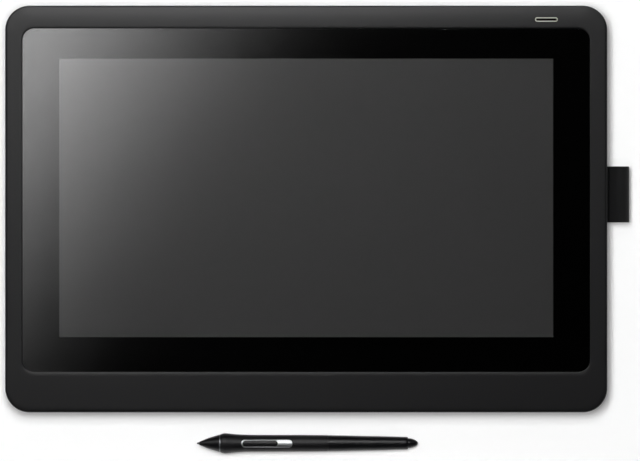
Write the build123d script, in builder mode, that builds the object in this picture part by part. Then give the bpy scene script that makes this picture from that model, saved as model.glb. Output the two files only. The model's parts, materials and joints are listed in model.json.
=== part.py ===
"""Graphics tablet with a 15.6 inch screen, with its pen laid in front of it.

Units are millimetres. The tablet lies on its back on the desk with the legs folded in. X runs to the
right, Y away from the user and Z up, out of the screen. The origin is on the desk, under the middle
of the tablet, its pen loop and its pen taken together.
"""

from build123d import *
from math import asin, cos, degrees, sin
import os

# Driving sizes of the tablet
body_width = 422.0
body_depth = 285.0
body_height = 24.5
corner_radius = 17.0
wall = 2.0
foot_height = 2.0
parting_level = 15.0
parting_chamfer = 0.35
top_round = 1.8

# Screen window, as seen in the photograph: 15.6 inch, 16 to 9
window_width = 346.1
window_depth = 195.2
window_y = 7.8
glass_width = 396.5
glass_depth = 239.5
glass_radius = 7.7
glass_y = 6.2
glass_gap = 0.6
ledge_reach = 12.75

# Pen loop and pen, outside the body
loop_width = 39.3
loop_reach = 16.0
loop_y = 10.3
pen_flare_radius = 7.1
pen_gap = 15.2
pen_nib_x = -77.0

# The desk origin is the middle of everything, so the tablet's own centre stands a little aside
centre_x = -loop_reach / 2
centre_y = (pen_gap + 2 * pen_flare_radius) / 2

# Heights of the layers, from the front down
glass_recess = 0.3
glass_top = body_height - glass_recess
glass_bottom = glass_top - 1.1
film_bottom = glass_bottom - 0.2
cell_bottom = film_bottom - 1.2
films_bottom = cell_bottom - 0.6
guide_bottom = films_bottom - 1.2
reflector_bottom = guide_bottom - 0.2
tray_bottom = reflector_bottom - 0.5
sensor_bottom = tray_bottom - 1.0
shield_bottom = sensor_bottom - 0.3
chassis_bottom = shield_bottom - 1.5
bezel_ceiling = body_height - 2.2
ledge_bottom = bezel_ceiling - 1.0
back_level = foot_height
floor_level = back_level + wall
board_top = 12.6
board_bottom = board_top - 1.6

# Display stack outlines
panel_width = 352.0
panel_depth = 206.0
panel_y = 5.2
stack_width = 349.0
stack_depth = 200.0
stack_y = panel_y + 1.5
tray_wall = 0.8

# Bevel round the back
bevel_width = 10.0
bevel_height = 5.0

# Screws that clamp cover, chassis and bezel together
side_screw_x = 190.0
side_screw_rows = (-120.0, 5.0, 118.0)
inner_screw_x = 70.0
inner_screw_rows = (-124.0, 121.0)
screw_radius = 1.25
screw_head_radius = 2.4
boss_radius = 3.5
tower_radius = 4.0
screw_places = [(side * side_screw_x, y) for side in (-1, 1) for y in side_screw_rows]
screw_places += [(side * inner_screw_x, y) for side in (-1, 1) for y in inner_screw_rows]
board_screw_places = [(x, y) for x in (-79.0, 79.0) for y in (-34.0, 52.0)]

# Power button
button_x = 168.3
button_y = 132.8
ring_length = 15.9
ring_width = 3.1
ring_wall = 0.65
button_gap = 0.1
button_travel = 0.4

# Folding legs
leg_x = 130.0
leg_width = 70.0
leg_length = 86.0
leg_thickness = 8.0
leg_skin = 2.0
leg_gap = 0.6
hinge_y = 110.0
hinge_z = back_level + leg_thickness / 2
hinge_pin_radius = 1.5
hinge_pin_bite = 3.5
running_gap = 0.06
pocket_ceiling = back_level + leg_thickness + leg_gap
pocket_width = leg_width + 2 * leg_gap
pocket_near = hinge_y - leg_length - 2.0 - leg_gap
pocket_far = hinge_y + leg_thickness / 2 + leg_gap
notch_width = 36.0
notch_depth = 16.0
notch_ceiling = 9.0

# Cable recess in the back, with its lid and the channel that the cable leaves by
recess_width = 60.0
recess_near = 62.0
recess_far = 112.0
recess_ceiling = 11.0
lid_thickness = 1.8
lid_gap = 0.3
channel_width = 12.0
channel_ceiling = 10.0

# Sockets in the sides
loop_z = 10.6
webbing = 1.0
anchor_width = 41.2
anchor_height = 3.5
anchor_depth = 9.2
anchor_gap = 0.2
lock_y = -60.0
lock_z = 12.0
lock_width = 7.0
lock_height = 3.0


def level(height):
    """A horizontal plane at a height above the desk, centred on the tablet."""
    return Plane(origin=(centre_x, centre_y, height))


def upright(x):
    """A plane facing right at x: its own x runs away from the user and its own y runs up."""
    return Plane(origin=(centre_x + x, centre_y, 0), x_dir=(0, 1, 0), z_dir=(1, 0, 0))


def crosswise(y):
    """A plane facing the user at y: its own x runs right and its own y runs up."""
    return Plane(origin=(centre_x, centre_y + y, 0), x_dir=(1, 0, 0), z_dir=(0, -1, 0))


def block(x_range, y_range, z_range, mode=Mode.ADD):
    """A square-cornered block between two limits each way, in the tablet's own frame."""
    with BuildSketch(level(z_range[0])) as outline:
        with Locations(((x_range[0] + x_range[1]) / 2, (y_range[0] + y_range[1]) / 2)):
            Rectangle(x_range[1] - x_range[0], y_range[1] - y_range[0])
    extrude(outline.sketch, amount=z_range[1] - z_range[0], mode=mode)


def posts(places, radius, bottom, top, mode=Mode.ADD):
    """Round posts or holes standing at each place, from bottom to top."""
    with BuildSketch(level(bottom)) as outline:
        with Locations(*places):
            Circle(radius)
    extrude(outline.sketch, amount=top - bottom, mode=mode)


def layer(width, depth, y, bottom, top):
    """One flat rectangular layer of the display stack."""
    with BuildPart() as sheet:
        with BuildSketch(level(bottom)):
            with Locations((0, y)):
                Rectangle(width, depth)
        extrude(amount=top - bottom)
    return sheet


def around(middle, size):
    """The two limits of a length laid evenly about its middle."""
    return (middle - size / 2, middle + size / 2)


pieces = {}

# Front bezel: a moulded tray with the glass seat and the ledge that carries the glass
opening_width = glass_width + 2 * glass_gap
opening_depth = glass_depth + 2 * glass_gap
ledge_root = 2.0
ledge_corner = 3.0
lip_chamfer = 0.4
pilot_radius = screw_radius + 0.05
boss_bottom = chassis_bottom + 1.5
with BuildPart() as front_bezel:
    with BuildSketch(level(parting_level)):
        RectangleRounded(body_width, body_depth, corner_radius)
    extrude(amount=body_height - parting_level)
    fillet(front_bezel.faces().sort_by(Axis.Z)[-1].edges(), top_round)
    chamfer(front_bezel.faces().sort_by(Axis.Z)[0].edges(), parting_chamfer)
    with BuildSketch(level(parting_level)):
        RectangleRounded(body_width - 2 * wall, body_depth - 2 * wall, corner_radius - wall)
    extrude(amount=bezel_ceiling - parting_level, mode=Mode.SUBTRACT)
    with BuildSketch(level(ledge_bottom)):
        with Locations((0, glass_y)):
            RectangleRounded(
                opening_width + 2 * ledge_root, opening_depth + 2 * ledge_root, glass_radius + ledge_root
            )
    extrude(amount=bezel_ceiling - ledge_bottom)
    posts(screw_places, boss_radius, boss_bottom, bezel_ceiling)
    with BuildSketch(level(ledge_bottom)):
        with Locations((0, glass_y)):
            RectangleRounded(opening_width - 2 * ledge_reach, opening_depth - 2 * ledge_reach, ledge_corner)
    extrude(amount=body_height - ledge_bottom, mode=Mode.SUBTRACT)
    with BuildSketch(level(film_bottom)):
        with Locations((0, glass_y)):
            RectangleRounded(opening_width, opening_depth, glass_radius + glass_gap)
    extrude(amount=body_height - film_bottom, mode=Mode.SUBTRACT)
    chamfer(front_bezel.faces().sort_by(Axis.Z)[-1].inner_wires()[0].edges(), lip_chamfer)
    posts(screw_places, pilot_radius, boss_bottom, bezel_ceiling - 1.2, Mode.SUBTRACT)
    with BuildSketch(level(bezel_ceiling)):
        with Locations((button_x, button_y)):
            SlotOverall(ring_length + 0.1, ring_width + 0.1)
    extrude(amount=body_height - bezel_ceiling, mode=Mode.SUBTRACT)
pieces["front_bezel"] = front_bezel

# Cover glass with a ground edge
glass_chamfer = 0.25
with BuildPart() as cover_glass:
    with BuildSketch(level(glass_bottom)):
        with Locations((0, glass_y)):
            RectangleRounded(glass_width, glass_depth, glass_radius)
    extrude(amount=glass_top - glass_bottom)
    chamfer(cover_glass.faces().sort_by(Axis.Z)[-1].edges(), glass_chamfer)
pieces["cover_glass"] = cover_glass

# Black border film behind the glass, which also tapes it to the bezel's ledge
film_margin = 0.2
with BuildPart() as border_film:
    with BuildSketch(level(film_bottom)):
        with Locations((0, glass_y)):
            RectangleRounded(
                glass_width - 2 * film_margin, glass_depth - 2 * film_margin, glass_radius - film_margin
            )
        with Locations((0, window_y)):
            Rectangle(window_width, window_depth, mode=Mode.SUBTRACT)
    extrude(amount=glass_bottom - film_bottom)
pieces["border_film"] = border_film

# Display stack: cell, optical films, light guide and reflector
pieces["lcd_cell"] = layer(panel_width, panel_depth, panel_y, cell_bottom, film_bottom)
pieces["optical_films"] = layer(stack_width, stack_depth, stack_y, films_bottom, cell_bottom)
pieces["light_guide"] = layer(stack_width, stack_depth, stack_y, guide_bottom, films_bottom)
pieces["reflector_sheet"] = layer(stack_width, stack_depth, stack_y, reflector_bottom, guide_bottom)

# Light bar: a thin strip with a row of lamps along the near edge of the light guide
lamp_count = 30
lamp_pitch = 11.0
lamp_width = 4.0
lamp_depth = 1.2
lamp_height = 0.8
strip_length = 340.0
strip_thickness = 0.6
strip_far = stack_y - stack_depth / 2
with BuildPart() as led_strip:
    strip_y = (strip_far - lamp_depth - 0.1 - strip_thickness, strip_far - lamp_depth - 0.1)
    block(around(0, strip_length), strip_y, (reflector_bottom, films_bottom))
    with BuildSketch(level(guide_bottom + 0.2)):
        with Locations((0, strip_far - 0.1 - lamp_depth / 2)):
            with GridLocations(lamp_pitch, 1, lamp_count, 1):
                Rectangle(lamp_width, lamp_depth)
    extrude(amount=lamp_height)
pieces["led_strip"] = led_strip

# Metal tray that holds the stack; its near wall is low so the driver films can leave over it
tray_gap = 0.2
with BuildPart() as panel_tray:
    tray_x = around(0, panel_width + 2 * (tray_wall + tray_gap))
    tray_y = around(panel_y, panel_depth + 2 * (tray_wall + tray_gap))
    block(tray_x, tray_y, (tray_bottom, film_bottom))
    block(
        (tray_x[0] + tray_wall, tray_x[1] - tray_wall),
        (tray_y[0] + tray_wall, tray_y[1] - tray_wall),
        (reflector_bottom, film_bottom),
        Mode.SUBTRACT,
    )
    low_wall = (tray_y[0], tray_y[0] + tray_wall)
    block(around(0, panel_width), low_wall, (cell_bottom, film_bottom), Mode.SUBTRACT)
pieces["panel_tray"] = panel_tray

# Driver board of the panel, and the films that join it to the cell's near edge
driver_bottom = shield_bottom + 0.7
driver_top = driver_bottom + 0.8
driver_y = (-116.0, -104.5)
driver_length = 300.0
driver_plugs = 5
driver_plug_pitch = 60.0
driver_plug = (12.0, 4.0)
cell_edge = panel_y - panel_depth / 2
with BuildPart() as panel_board:
    block(around(0, driver_length), driver_y, (driver_bottom, driver_top))
    with BuildSketch(level(driver_top)):
        with Locations((0, driver_y[0] + 3.0)):
            with GridLocations(driver_plug_pitch, 1, driver_plugs, 1):
                Rectangle(*driver_plug)
    extrude(amount=0.9)
pieces["panel_board"] = panel_board

film_level = cell_bottom + 0.3
film_count = 6
film_pitch = 48.0
film_width = 26.0
film_thickness = 0.15
film_overlap = (1.5, 5.0)
with BuildPart() as driver_films:
    for column in range(film_count):
        film_x = (column - (film_count - 1) / 2) * film_pitch
        with BuildSketch(upright(film_x - film_width / 2)):
            with BuildLine():
                Polyline(
                    (cell_edge, film_level),
                    (cell_edge - 1.3, film_level),
                    (cell_edge - 3.0, driver_top + 0.9),
                    (driver_y[1] - film_overlap[0], driver_top),
                    (driver_y[1] - film_overlap[1], driver_top),
                    (driver_y[1] - film_overlap[1], driver_top + film_thickness),
                    (driver_y[1] - film_overlap[0], driver_top + film_thickness),
                    (cell_edge - 2.9, driver_top + 0.9 + film_thickness),
                    (cell_edge - 1.2, film_level + film_thickness),
                    (cell_edge, film_level + film_thickness),
                    close=True,
                )
            make_face()
        extrude(amount=film_width)
pieces["driver_films"] = driver_films

# Pen sensor board and the shield sheet behind it
cable_slot_y = -63.0
cable_slot_size = (34.0, 6.0)
sensor_size = (352.0, 202.0)
pieces["sensor_board"] = layer(*sensor_size, panel_y, sensor_bottom, tray_bottom)
with BuildPart() as sensor_shield:
    with BuildSketch(level(shield_bottom)):
        with Locations((0, panel_y)):
            Rectangle(*sensor_size)
        with Locations((0, cable_slot_y)):
            Rectangle(*cable_slot_size, mode=Mode.SUBTRACT)
    extrude(amount=sensor_bottom - shield_bottom)
pieces["sensor_shield"] = sensor_shield

# Chassis plate: rim round three sides of the panel, standoffs below for the main board
chassis_top = shield_bottom
chassis_gap = 1.5
rim_width = 362.0
rim_depth = 214.0
rim_wall = 1.7
rim_height = 3.1
rim_opening = 12.0
panel_slot = (50.0, -106.0)
panel_slot_size = (24.0, 5.0)
button_slot = (button_x, 131.5)
button_slot_size = (10.0, 6.0)
spacer_size = 5.0
spacer_pitch = 80.0
spacer_count = 4
standoff_radius = 2.5
standoff_bore = 1.05
with BuildPart() as chassis:
    with BuildSketch(level(chassis_bottom)):
        RectangleRounded(
            body_width - 2 * (wall + chassis_gap),
            body_depth - 2 * (wall + chassis_gap),
            corner_radius - wall - chassis_gap,
        )
    extrude(amount=chassis_top - chassis_bottom)
    with BuildSketch(level(chassis_top)):
        with Locations((0, panel_y)):
            Rectangle(rim_width, rim_depth)
            Rectangle(rim_width - 2 * rim_wall, rim_depth - 2 * rim_wall, mode=Mode.SUBTRACT)
        with Locations((0, panel_y - rim_depth / 2)):
            Rectangle(rim_width, rim_opening, mode=Mode.SUBTRACT)
    extrude(amount=rim_height)
    with BuildSketch(level(chassis_top)):
        with Locations((0, (driver_y[0] + driver_y[1]) / 2)):
            with GridLocations(spacer_pitch, 1, spacer_count, 1):
                Rectangle(spacer_size, spacer_size)
    extrude(amount=driver_bottom - chassis_top)
    posts(board_screw_places, standoff_radius, board_top, chassis_bottom)
    posts(board_screw_places, standoff_bore, board_top, chassis_bottom - 0.6, Mode.SUBTRACT)
    posts(screw_places, screw_radius + 0.15, chassis_bottom, chassis_top, Mode.SUBTRACT)
    for place, size in (
        ((0, cable_slot_y), cable_slot_size),
        (panel_slot, panel_slot_size),
        (button_slot, button_slot_size),
    ):
        with BuildSketch(level(chassis_bottom)):
            with Locations(place):
                Rectangle(*size)
        extrude(amount=chassis_top - chassis_bottom, mode=Mode.SUBTRACT)
pieces["chassis"] = chassis

# Main board, with its parts hanging towards the back
board_x = (-85.0, 85.0)
board_y = (-40.0, 58.0)
with BuildPart() as main_board:
    block(board_x, board_y, (board_bottom, board_top))
    posts(board_screw_places, 1.2, board_bottom, board_top, Mode.SUBTRACT)
pieces["main_board"] = main_board

chip_sizes = (
    ((-52, 30), (12.0, 9.0, 1.0)),
    ((-52, 16), (12.0, 9.0, 1.0)),
    ((40, 0), (14.0, 14.0, 1.2)),
    ((62, 28), (6.0, 6.0, 0.9)),
    ((66, -8), (8.0, 8.0, 1.1)),
    ((-66, -18), (5.0, 6.0, 1.0)),
)
with BuildPart() as board_chips:
    for (chip_x, chip_y), (chip_width, chip_depth, chip_height) in chip_sizes:
        chip_z = (board_bottom - chip_height, board_bottom)
        block(around(chip_x, chip_width), around(chip_y, chip_depth), chip_z)
pieces["board_chips"] = board_chips

coil_side, coil_height = 7.0, 3.2
large_can_places = [(x, 42.0) for x in (46.0, 54.0, 62.0)]
large_can_radius, large_can_height = 3.1, 5.4
small_can_places = [(x, -30.0) for x in (40.0, 48.0)]
small_can_radius, small_can_height = 2.5, 4.4
with BuildPart() as power_parts:
    for coil_y in (-26.0, -14.0, -2.0):
        block(around(-40.0, coil_side), around(coil_y, coil_side), (board_bottom - coil_height, board_bottom))
    posts(large_can_places, large_can_radius, board_bottom - large_can_height, board_bottom)
    posts(small_can_places, small_can_radius, board_bottom - small_can_height, board_bottom)
pieces["power_parts"] = power_parts

shield_place = (-8.0, 12.0)
shield_side, shield_height, shield_skin = 38.0, 3.0, 0.4
with BuildPart() as processor_shield:
    for side, height, mode in (
        (shield_side, shield_height, Mode.ADD),
        (shield_side - 2 * shield_skin, shield_height - shield_skin, Mode.SUBTRACT),
    ):
        shield_z = (board_bottom - height, board_bottom)
        block(around(shield_place[0], side), around(shield_place[1], side), shield_z, mode)
pieces["processor_shield"] = processor_shield

ribbon_level = board_top + 1.4
button_ribbon_level = 15.0
near_plug_y = (-38.5, -33.5)
button_plug_x = 60.0
with BuildPart() as board_connectors:
    block(around(0, 34.0), near_plug_y, (board_top, ribbon_level))
    block(around(panel_slot[0], 24.0), near_plug_y, (board_top, ribbon_level))
    block(around(button_plug_x, 8.0), (49.0, 54.0), (board_top, button_ribbon_level))
pieces["board_connectors"] = board_connectors

# Cable socket: one wide mouth for the single cable, set in the wall of the recess
socket_mouth_z = 7.2
socket_mouth = (13.0, 3.4)
socket_tongue = (10.4, 0.9)
socket_width = 18.0
socket_height = 6.4
socket_start = 48.0
with BuildPart() as port_socket:
    block(
        around(0, socket_width),
        (socket_start, recess_near + 1.0),
        (board_bottom - socket_height, board_bottom),
    )
    with BuildSketch(crosswise(recess_near + 1.0)):
        with Locations((0, socket_mouth_z)):
            SlotOverall(*socket_mouth)
    extrude(amount=8.0, mode=Mode.SUBTRACT)
    with BuildSketch(crosswise(recess_near)):
        with Locations((0, socket_mouth_z)):
            Rectangle(*socket_tongue)
    extrude(amount=7.5)
pieces["port_socket"] = port_socket

# Ribbon cables between the boards
ribbon_thickness = 0.3
sensor_ribbon_width = 30.0
panel_ribbon_width = 20.0
ribbon_end = near_plug_y[1] - 1.0
ribbon_flat = (ribbon_level, ribbon_level + ribbon_thickness)
with BuildPart() as sensor_cable:
    block(
        around(0, sensor_ribbon_width), around(cable_slot_y, ribbon_thickness), (ribbon_level, sensor_bottom)
    )
    block(around(0, sensor_ribbon_width), (cable_slot_y, ribbon_end), ribbon_flat)
pieces["sensor_cable"] = sensor_cable

with BuildPart() as panel_cable:
    ribbon_x = around(panel_slot[0], panel_ribbon_width)
    block(ribbon_x, around(panel_slot[1], ribbon_thickness), (ribbon_level, driver_bottom))
    block(ribbon_x, (panel_slot[1], ribbon_end), ribbon_flat)
pieces["panel_cable"] = panel_cable

button_ribbon_width = 6.0
button_ribbon_turn = 106.0
with BuildPart() as button_cable:
    ribbon_z = (button_ribbon_level, button_ribbon_level + 0.2)
    rise_y = (button_slot[1] - 0.2, button_slot[1])
    near_x = around(button_plug_x, button_ribbon_width)
    far_x = around(button_x, button_ribbon_width)
    turn_y = (button_ribbon_turn, button_ribbon_turn + button_ribbon_width)
    block(far_x, (button_ribbon_turn, button_slot[1]), ribbon_z)
    block(far_x, rise_y, (button_ribbon_level, chassis_top))
    block((near_x[0], far_x[1]), turn_y, ribbon_z)
    block(near_x, (50.0, turn_y[1]), ribbon_z)
pieces["button_cable"] = button_cable

# Power button: light ring, cap with its stem, and the switch on a small board
switch_board_top = chassis_top + 1.0
switch_top = switch_board_top + 1.2
cap_foot = switch_top + 0.5
cap_margin = 2 * (ring_wall + button_gap)
ring_leg_x = 8.4
with BuildPart() as power_ring:
    with BuildSketch(level(bezel_ceiling)):
        with Locations((button_x, button_y)):
            SlotOverall(ring_length, ring_width)
    extrude(amount=body_height - bezel_ceiling)
    with BuildSketch(level(bezel_ceiling - 0.8)):
        with Locations((button_x, button_y)):
            SlotOverall(ring_length + 3.0, ring_width + 2.2)
    extrude(amount=0.8)
    for side in (-1, 1):
        block(
            around(button_x + side * ring_leg_x, 1.2),
            around(button_y, 2.0),
            (switch_board_top + 0.7, bezel_ceiling - 0.8),
        )
    with BuildSketch(level(bezel_ceiling - 0.8)):
        with Locations((button_x, button_y)):
            SlotOverall(ring_length - 2 * ring_wall, ring_width - 2 * ring_wall)
    extrude(amount=body_height, mode=Mode.SUBTRACT)
pieces["power_ring"] = power_ring

with BuildPart() as power_button:
    with BuildSketch(level(cap_foot)):
        with Locations((button_x, button_y)):
            SlotOverall(ring_length - cap_margin, ring_width - cap_margin)
    extrude(amount=body_height - 0.1 - cap_foot)
    fillet(power_button.faces().sort_by(Axis.Z)[-1].edges(), 0.3)
    with BuildSketch(level(cap_foot)):
        with Locations((button_x, button_y)):
            Rectangle(12.0, 4.4)
    extrude(amount=0.7)
    posts([(button_x, button_y)], 0.8, switch_board_top + 0.5, cap_foot)
pieces["power_button"] = power_button

with BuildPart() as button_switch:
    block(around(button_x, 6.0), around(button_y, 3.6), (switch_board_top, switch_top))
    posts([(button_x, button_y)], 0.9, switch_board_top, switch_top, Mode.SUBTRACT)
pieces["button_switch"] = button_switch

with BuildPart() as button_board:
    block(around(button_x, 27.0), (button_y - 1.0, button_y + 3.6), (chassis_top, switch_board_top))
    block(around(button_x, 27.0), (button_y - 3.4, button_y - 1.0), (chassis_top, switch_board_top))
    for side in (-1, 1):
        lamp_z = (switch_board_top, switch_board_top + 0.6)
        block(around(button_x + side * ring_leg_x, 1.6), around(button_y, 1.0), lamp_z)
pieces["button_board"] = button_board


# Rear cover. Its cavity is made first, leaving out all that has to stay solid inside the cover.
def bevelled_block(inset, bottom):
    """The cover's outer form, or its cavity: straight sides with a broad bevel down to the back."""
    with BuildPart() as form:
        with BuildSketch(level(bottom)):
            RectangleRounded(body_width - 2 * inset, body_depth - 2 * inset, corner_radius - inset)
        extrude(amount=parting_level - bottom)
        back = form.faces().sort_by(Axis.Z)[0]
        chamfer(back.edges(), length=bevel_width, length2=bevel_height, reference=back)
    return form


cover_form = bevelled_block(0.0, back_level)
cavity_form = bevelled_block(wall, floor_level)
hinge_block_width = pocket_width + 2 * (hinge_pin_bite + 1.0)
pocket_roof = pocket_ceiling + 1.8
screw_seat = back_level + 2.6
foot_size = (60.0, 9.0)
foot_places = [(x, y) for x in (-leg_x, leg_x) for y in (-118.0, 124.5)]
foot_recess = 1.0
with BuildPart() as cover_cavity:
    add(cavity_form.part)
    posts(screw_places, tower_radius, floor_level, parting_level, Mode.SUBTRACT)
    for side in (-1, 1):
        block(
            around(side * leg_x, pocket_width + 2 * wall),
            (pocket_near - wall, pocket_far + wall),
            (floor_level, pocket_roof),
            Mode.SUBTRACT,
        )
        block(
            around(side * leg_x, hinge_block_width),
            (hinge_y - 6.0, pocket_far + wall),
            (floor_level, pocket_roof),
            Mode.SUBTRACT,
        )
        block(
            around(side * leg_x, notch_width + 2 * wall),
            (pocket_near - notch_depth - wall, pocket_near),
            (floor_level, notch_ceiling + wall),
            Mode.SUBTRACT,
        )
        block(
            around(side * (body_width / 2 - 7.2), 11.0),
            around(loop_y, anchor_width + 5.0),
            (floor_level, parting_level),
            Mode.SUBTRACT,
        )
    block(
        around(0, recess_width + 2 * wall),
        (recess_near - wall, recess_far + wall),
        (floor_level, recess_ceiling + wall),
        Mode.SUBTRACT,
    )
    block(
        around(0, channel_width + 2 * wall),
        (recess_far, body_depth / 2),
        (floor_level, channel_ceiling + wall),
        Mode.SUBTRACT,
    )

with BuildPart() as rear_cover:
    add(cover_form.part)
    chamfer(rear_cover.faces().sort_by(Axis.Z)[-1].edges(), parting_chamfer)
    add(cover_cavity.part, mode=Mode.SUBTRACT)
    posts(screw_places, tower_radius, parting_level, chassis_bottom)
    posts(screw_places, screw_radius + 0.15, back_level, chassis_bottom, Mode.SUBTRACT)
    posts(screw_places, screw_head_radius + 0.4, back_level, screw_seat, Mode.SUBTRACT)
    for side in (-1, 1):
        with BuildSketch(level(back_level)):
            with Locations((side * leg_x, (pocket_near + pocket_far) / 2)):
                RectangleRounded(pocket_width, pocket_far - pocket_near, 0.8)
        extrude(amount=pocket_ceiling - back_level, mode=Mode.SUBTRACT)
        with BuildSketch(level(back_level)):
            with Locations((side * leg_x, pocket_near - notch_depth / 2 + 1)):
                RectangleRounded(notch_width, notch_depth + 2, 2.5)
        extrude(amount=notch_ceiling - back_level, mode=Mode.SUBTRACT)
        with BuildSketch(upright(side * leg_x - pocket_width / 2 - hinge_pin_bite)):
            with Locations((hinge_y, hinge_z)):
                Circle(hinge_pin_radius)
        extrude(amount=pocket_width + 2 * hinge_pin_bite, mode=Mode.SUBTRACT)
        block(
            around(side * (body_width / 2 - anchor_depth / 2), anchor_depth + 2 * anchor_gap + 1.0),
            around(loop_y, anchor_width + 2 * anchor_gap),
            around(loop_z, anchor_height + 2 * anchor_gap),
            Mode.SUBTRACT,
        )
    block(around(0, recess_width), (recess_near, recess_far), (back_level, recess_ceiling), Mode.SUBTRACT)
    for side in (-1, 1):
        for post_y in (recess_near + 2.5, recess_far - 2.5):
            block(
                around(side * (recess_width / 2 - 2.5), 5.0),
                around(post_y, 5.0),
                (back_level + lid_thickness, recess_ceiling),
            )
    block(
        around(0, channel_width),
        (recess_far - 1.0, body_depth / 2 + 1.0),
        (back_level - 1.0, channel_ceiling),
        Mode.SUBTRACT,
    )
    block(around(0, 18.4), (recess_near - wall - 1.0, recess_near + 1.0), (4.4, 11.0), Mode.SUBTRACT)
    with BuildSketch(upright(-body_width / 2)):
        with Locations((lock_y, lock_z)):
            SlotOverall(lock_width, lock_height)
    extrude(amount=wall, mode=Mode.SUBTRACT)
    with BuildSketch(level(back_level)):
        with Locations(*foot_places):
            SlotOverall(foot_size[0] + 0.4, foot_size[1] + 0.4)
    extrude(amount=foot_recess, mode=Mode.SUBTRACT)
pieces["rear_cover"] = rear_cover

# Steel plate behind the security slot
with BuildPart() as lock_plate:
    with BuildSketch(upright(-body_width / 2 + wall)):
        with Locations((lock_y, lock_z)):
            Rectangle(18.0, 5.6)
            SlotOverall(lock_width + 0.2, lock_height + 0.2, mode=Mode.SUBTRACT)
    extrude(amount=1.5)
pieces["lock_plate"] = lock_plate

# Rubber feet: four strips set 1 mm into the back
with BuildPart() as rubber_feet:
    with BuildSketch(level(0)):
        with Locations(*foot_places):
            SlotOverall(*foot_size)
    extrude(amount=foot_height + foot_recess)
    fillet(rubber_feet.faces().group_by(Axis.Z)[0].edges(), 0.8)
pieces["rubber_feet"] = rubber_feet

# Lid over the cable recess
with BuildPart() as cable_lid:
    with BuildSketch(level(back_level)):
        with Locations((0, (recess_near + recess_far) / 2)):
            Rectangle(recess_width - 2 * lid_gap, recess_far - recess_near - 2 * lid_gap)
    extrude(amount=lid_thickness)
    with BuildSketch(level(back_level)):
        with Locations((0, recess_near + 9.0)):
            with GridLocations(1, 3.0, 1, 3):
                SlotOverall(20.0, 1.2)
    extrude(amount=0.6, mode=Mode.SUBTRACT)
pieces["cable_lid"] = cable_lid

# Screws
with BuildPart() as cover_screws:
    head_bottom = back_level + 0.9
    posts(screw_places, screw_head_radius, head_bottom, screw_seat)
    posts(screw_places, screw_radius, screw_seat, chassis_top + 2.8)
    for slot_width, slot_length in ((0.6, 2.8), (2.8, 0.6)):
        with BuildSketch(level(head_bottom)):
            with Locations(*screw_places):
                Rectangle(slot_width, slot_length)
        extrude(amount=0.9, mode=Mode.SUBTRACT)
pieces["cover_screws"] = cover_screws

with BuildPart() as board_screws:
    posts(board_screw_places, 1.9, board_bottom - 1.3, board_bottom)
    posts(board_screw_places, 1.0, board_bottom, board_top + 2.8)
pieces["board_screws"] = board_screws

# Folding legs. Ribbed inside, round at the hinge, with a groove at the tip for the pad.
bay_columns, bay_rows = 2, 3
bay_width = (leg_width - leg_skin * (bay_columns + 1)) / bay_columns
bay_span = leg_length - 10.0
bay_depth = (bay_span - leg_skin * (bay_rows - 1)) / bay_rows
bay_middle = hinge_y - leg_thickness / 2 - leg_skin - bay_span / 2
leg_tip = hinge_y - leg_length
pad_width = 62.0
pad_height = 5.0


def folding_leg(x):
    """A leg lying folded in its pocket, with its hinge barrel at the far end."""
    with BuildPart() as leg:
        with BuildSketch(upright(x - leg_width / 2)):
            with Locations((hinge_y, hinge_z)):
                Circle(leg_thickness / 2)
            with Locations((hinge_y - leg_length / 2, hinge_z)):
                Rectangle(leg_length, leg_thickness)
        extrude(amount=leg_width)
        tip = leg.faces().sort_by(Axis.Y)[0]
        fillet(tip.edges().filter_by(Axis.Z), 3.0)
        fillet(leg.faces().sort_by(Axis.Z)[0].edges().sort_by(Axis.Y)[0], 1.2)
        with BuildSketch(level(back_level + leg_skin)):
            with Locations((x, bay_middle)):
                with GridLocations(bay_width + leg_skin, bay_depth + leg_skin, bay_columns, bay_rows):
                    RectangleRounded(bay_width, bay_depth, 1.0)
        extrude(amount=leg_thickness, mode=Mode.SUBTRACT)
        block(around(x, pad_width), (leg_tip, leg_tip + 2.0), around(hinge_z, pad_height), Mode.SUBTRACT)
        with BuildSketch(upright(x - leg_width / 2)):
            with Locations((hinge_y, hinge_z)):
                Circle(hinge_pin_radius + running_gap)
        extrude(amount=leg_width, mode=Mode.SUBTRACT)
    return leg


def leg_pad(x):
    """The rubber strip along the tip of a leg."""
    with BuildPart() as pad:
        block(around(x, pad_width), around(leg_tip, 4.0), around(hinge_z, pad_height))
        fillet(pad.faces().sort_by(Axis.Y)[0].edges(), 1.0)
    return pad


def hinge_pin(x):
    """The steel pin that carries a leg, held in the cheeks of its pocket."""
    with BuildPart() as pin:
        with BuildSketch(upright(x - pocket_width / 2 - hinge_pin_bite)):
            with Locations((hinge_y, hinge_z)):
                Circle(hinge_pin_radius)
        extrude(amount=pocket_width + 2 * hinge_pin_bite)
    return pin


for leg_name, place in (("left", -leg_x), ("right", leg_x)):
    pieces[leg_name + "_leg"] = folding_leg(place)
    pieces[leg_name + "_leg_pad"] = leg_pad(place)
    pieces[leg_name + "_hinge_pin"] = hinge_pin(place)

# Friction washers between each leg and the cheeks of its pocket
washer_thickness = leg_gap - 0.1
with BuildPart() as hinge_washers:
    for place in (-leg_x, leg_x):
        for side in (-1, 1):
            washer_middle = place + side * (leg_width + leg_gap) / 2
            with BuildSketch(upright(washer_middle - washer_thickness / 2)):
                with Locations((hinge_y, hinge_z)):
                    Circle(3.6)
                    Circle(hinge_pin_radius + running_gap, mode=Mode.SUBTRACT)
            extrude(amount=washer_thickness)
pieces["hinge_washers"] = hinge_washers

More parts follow.
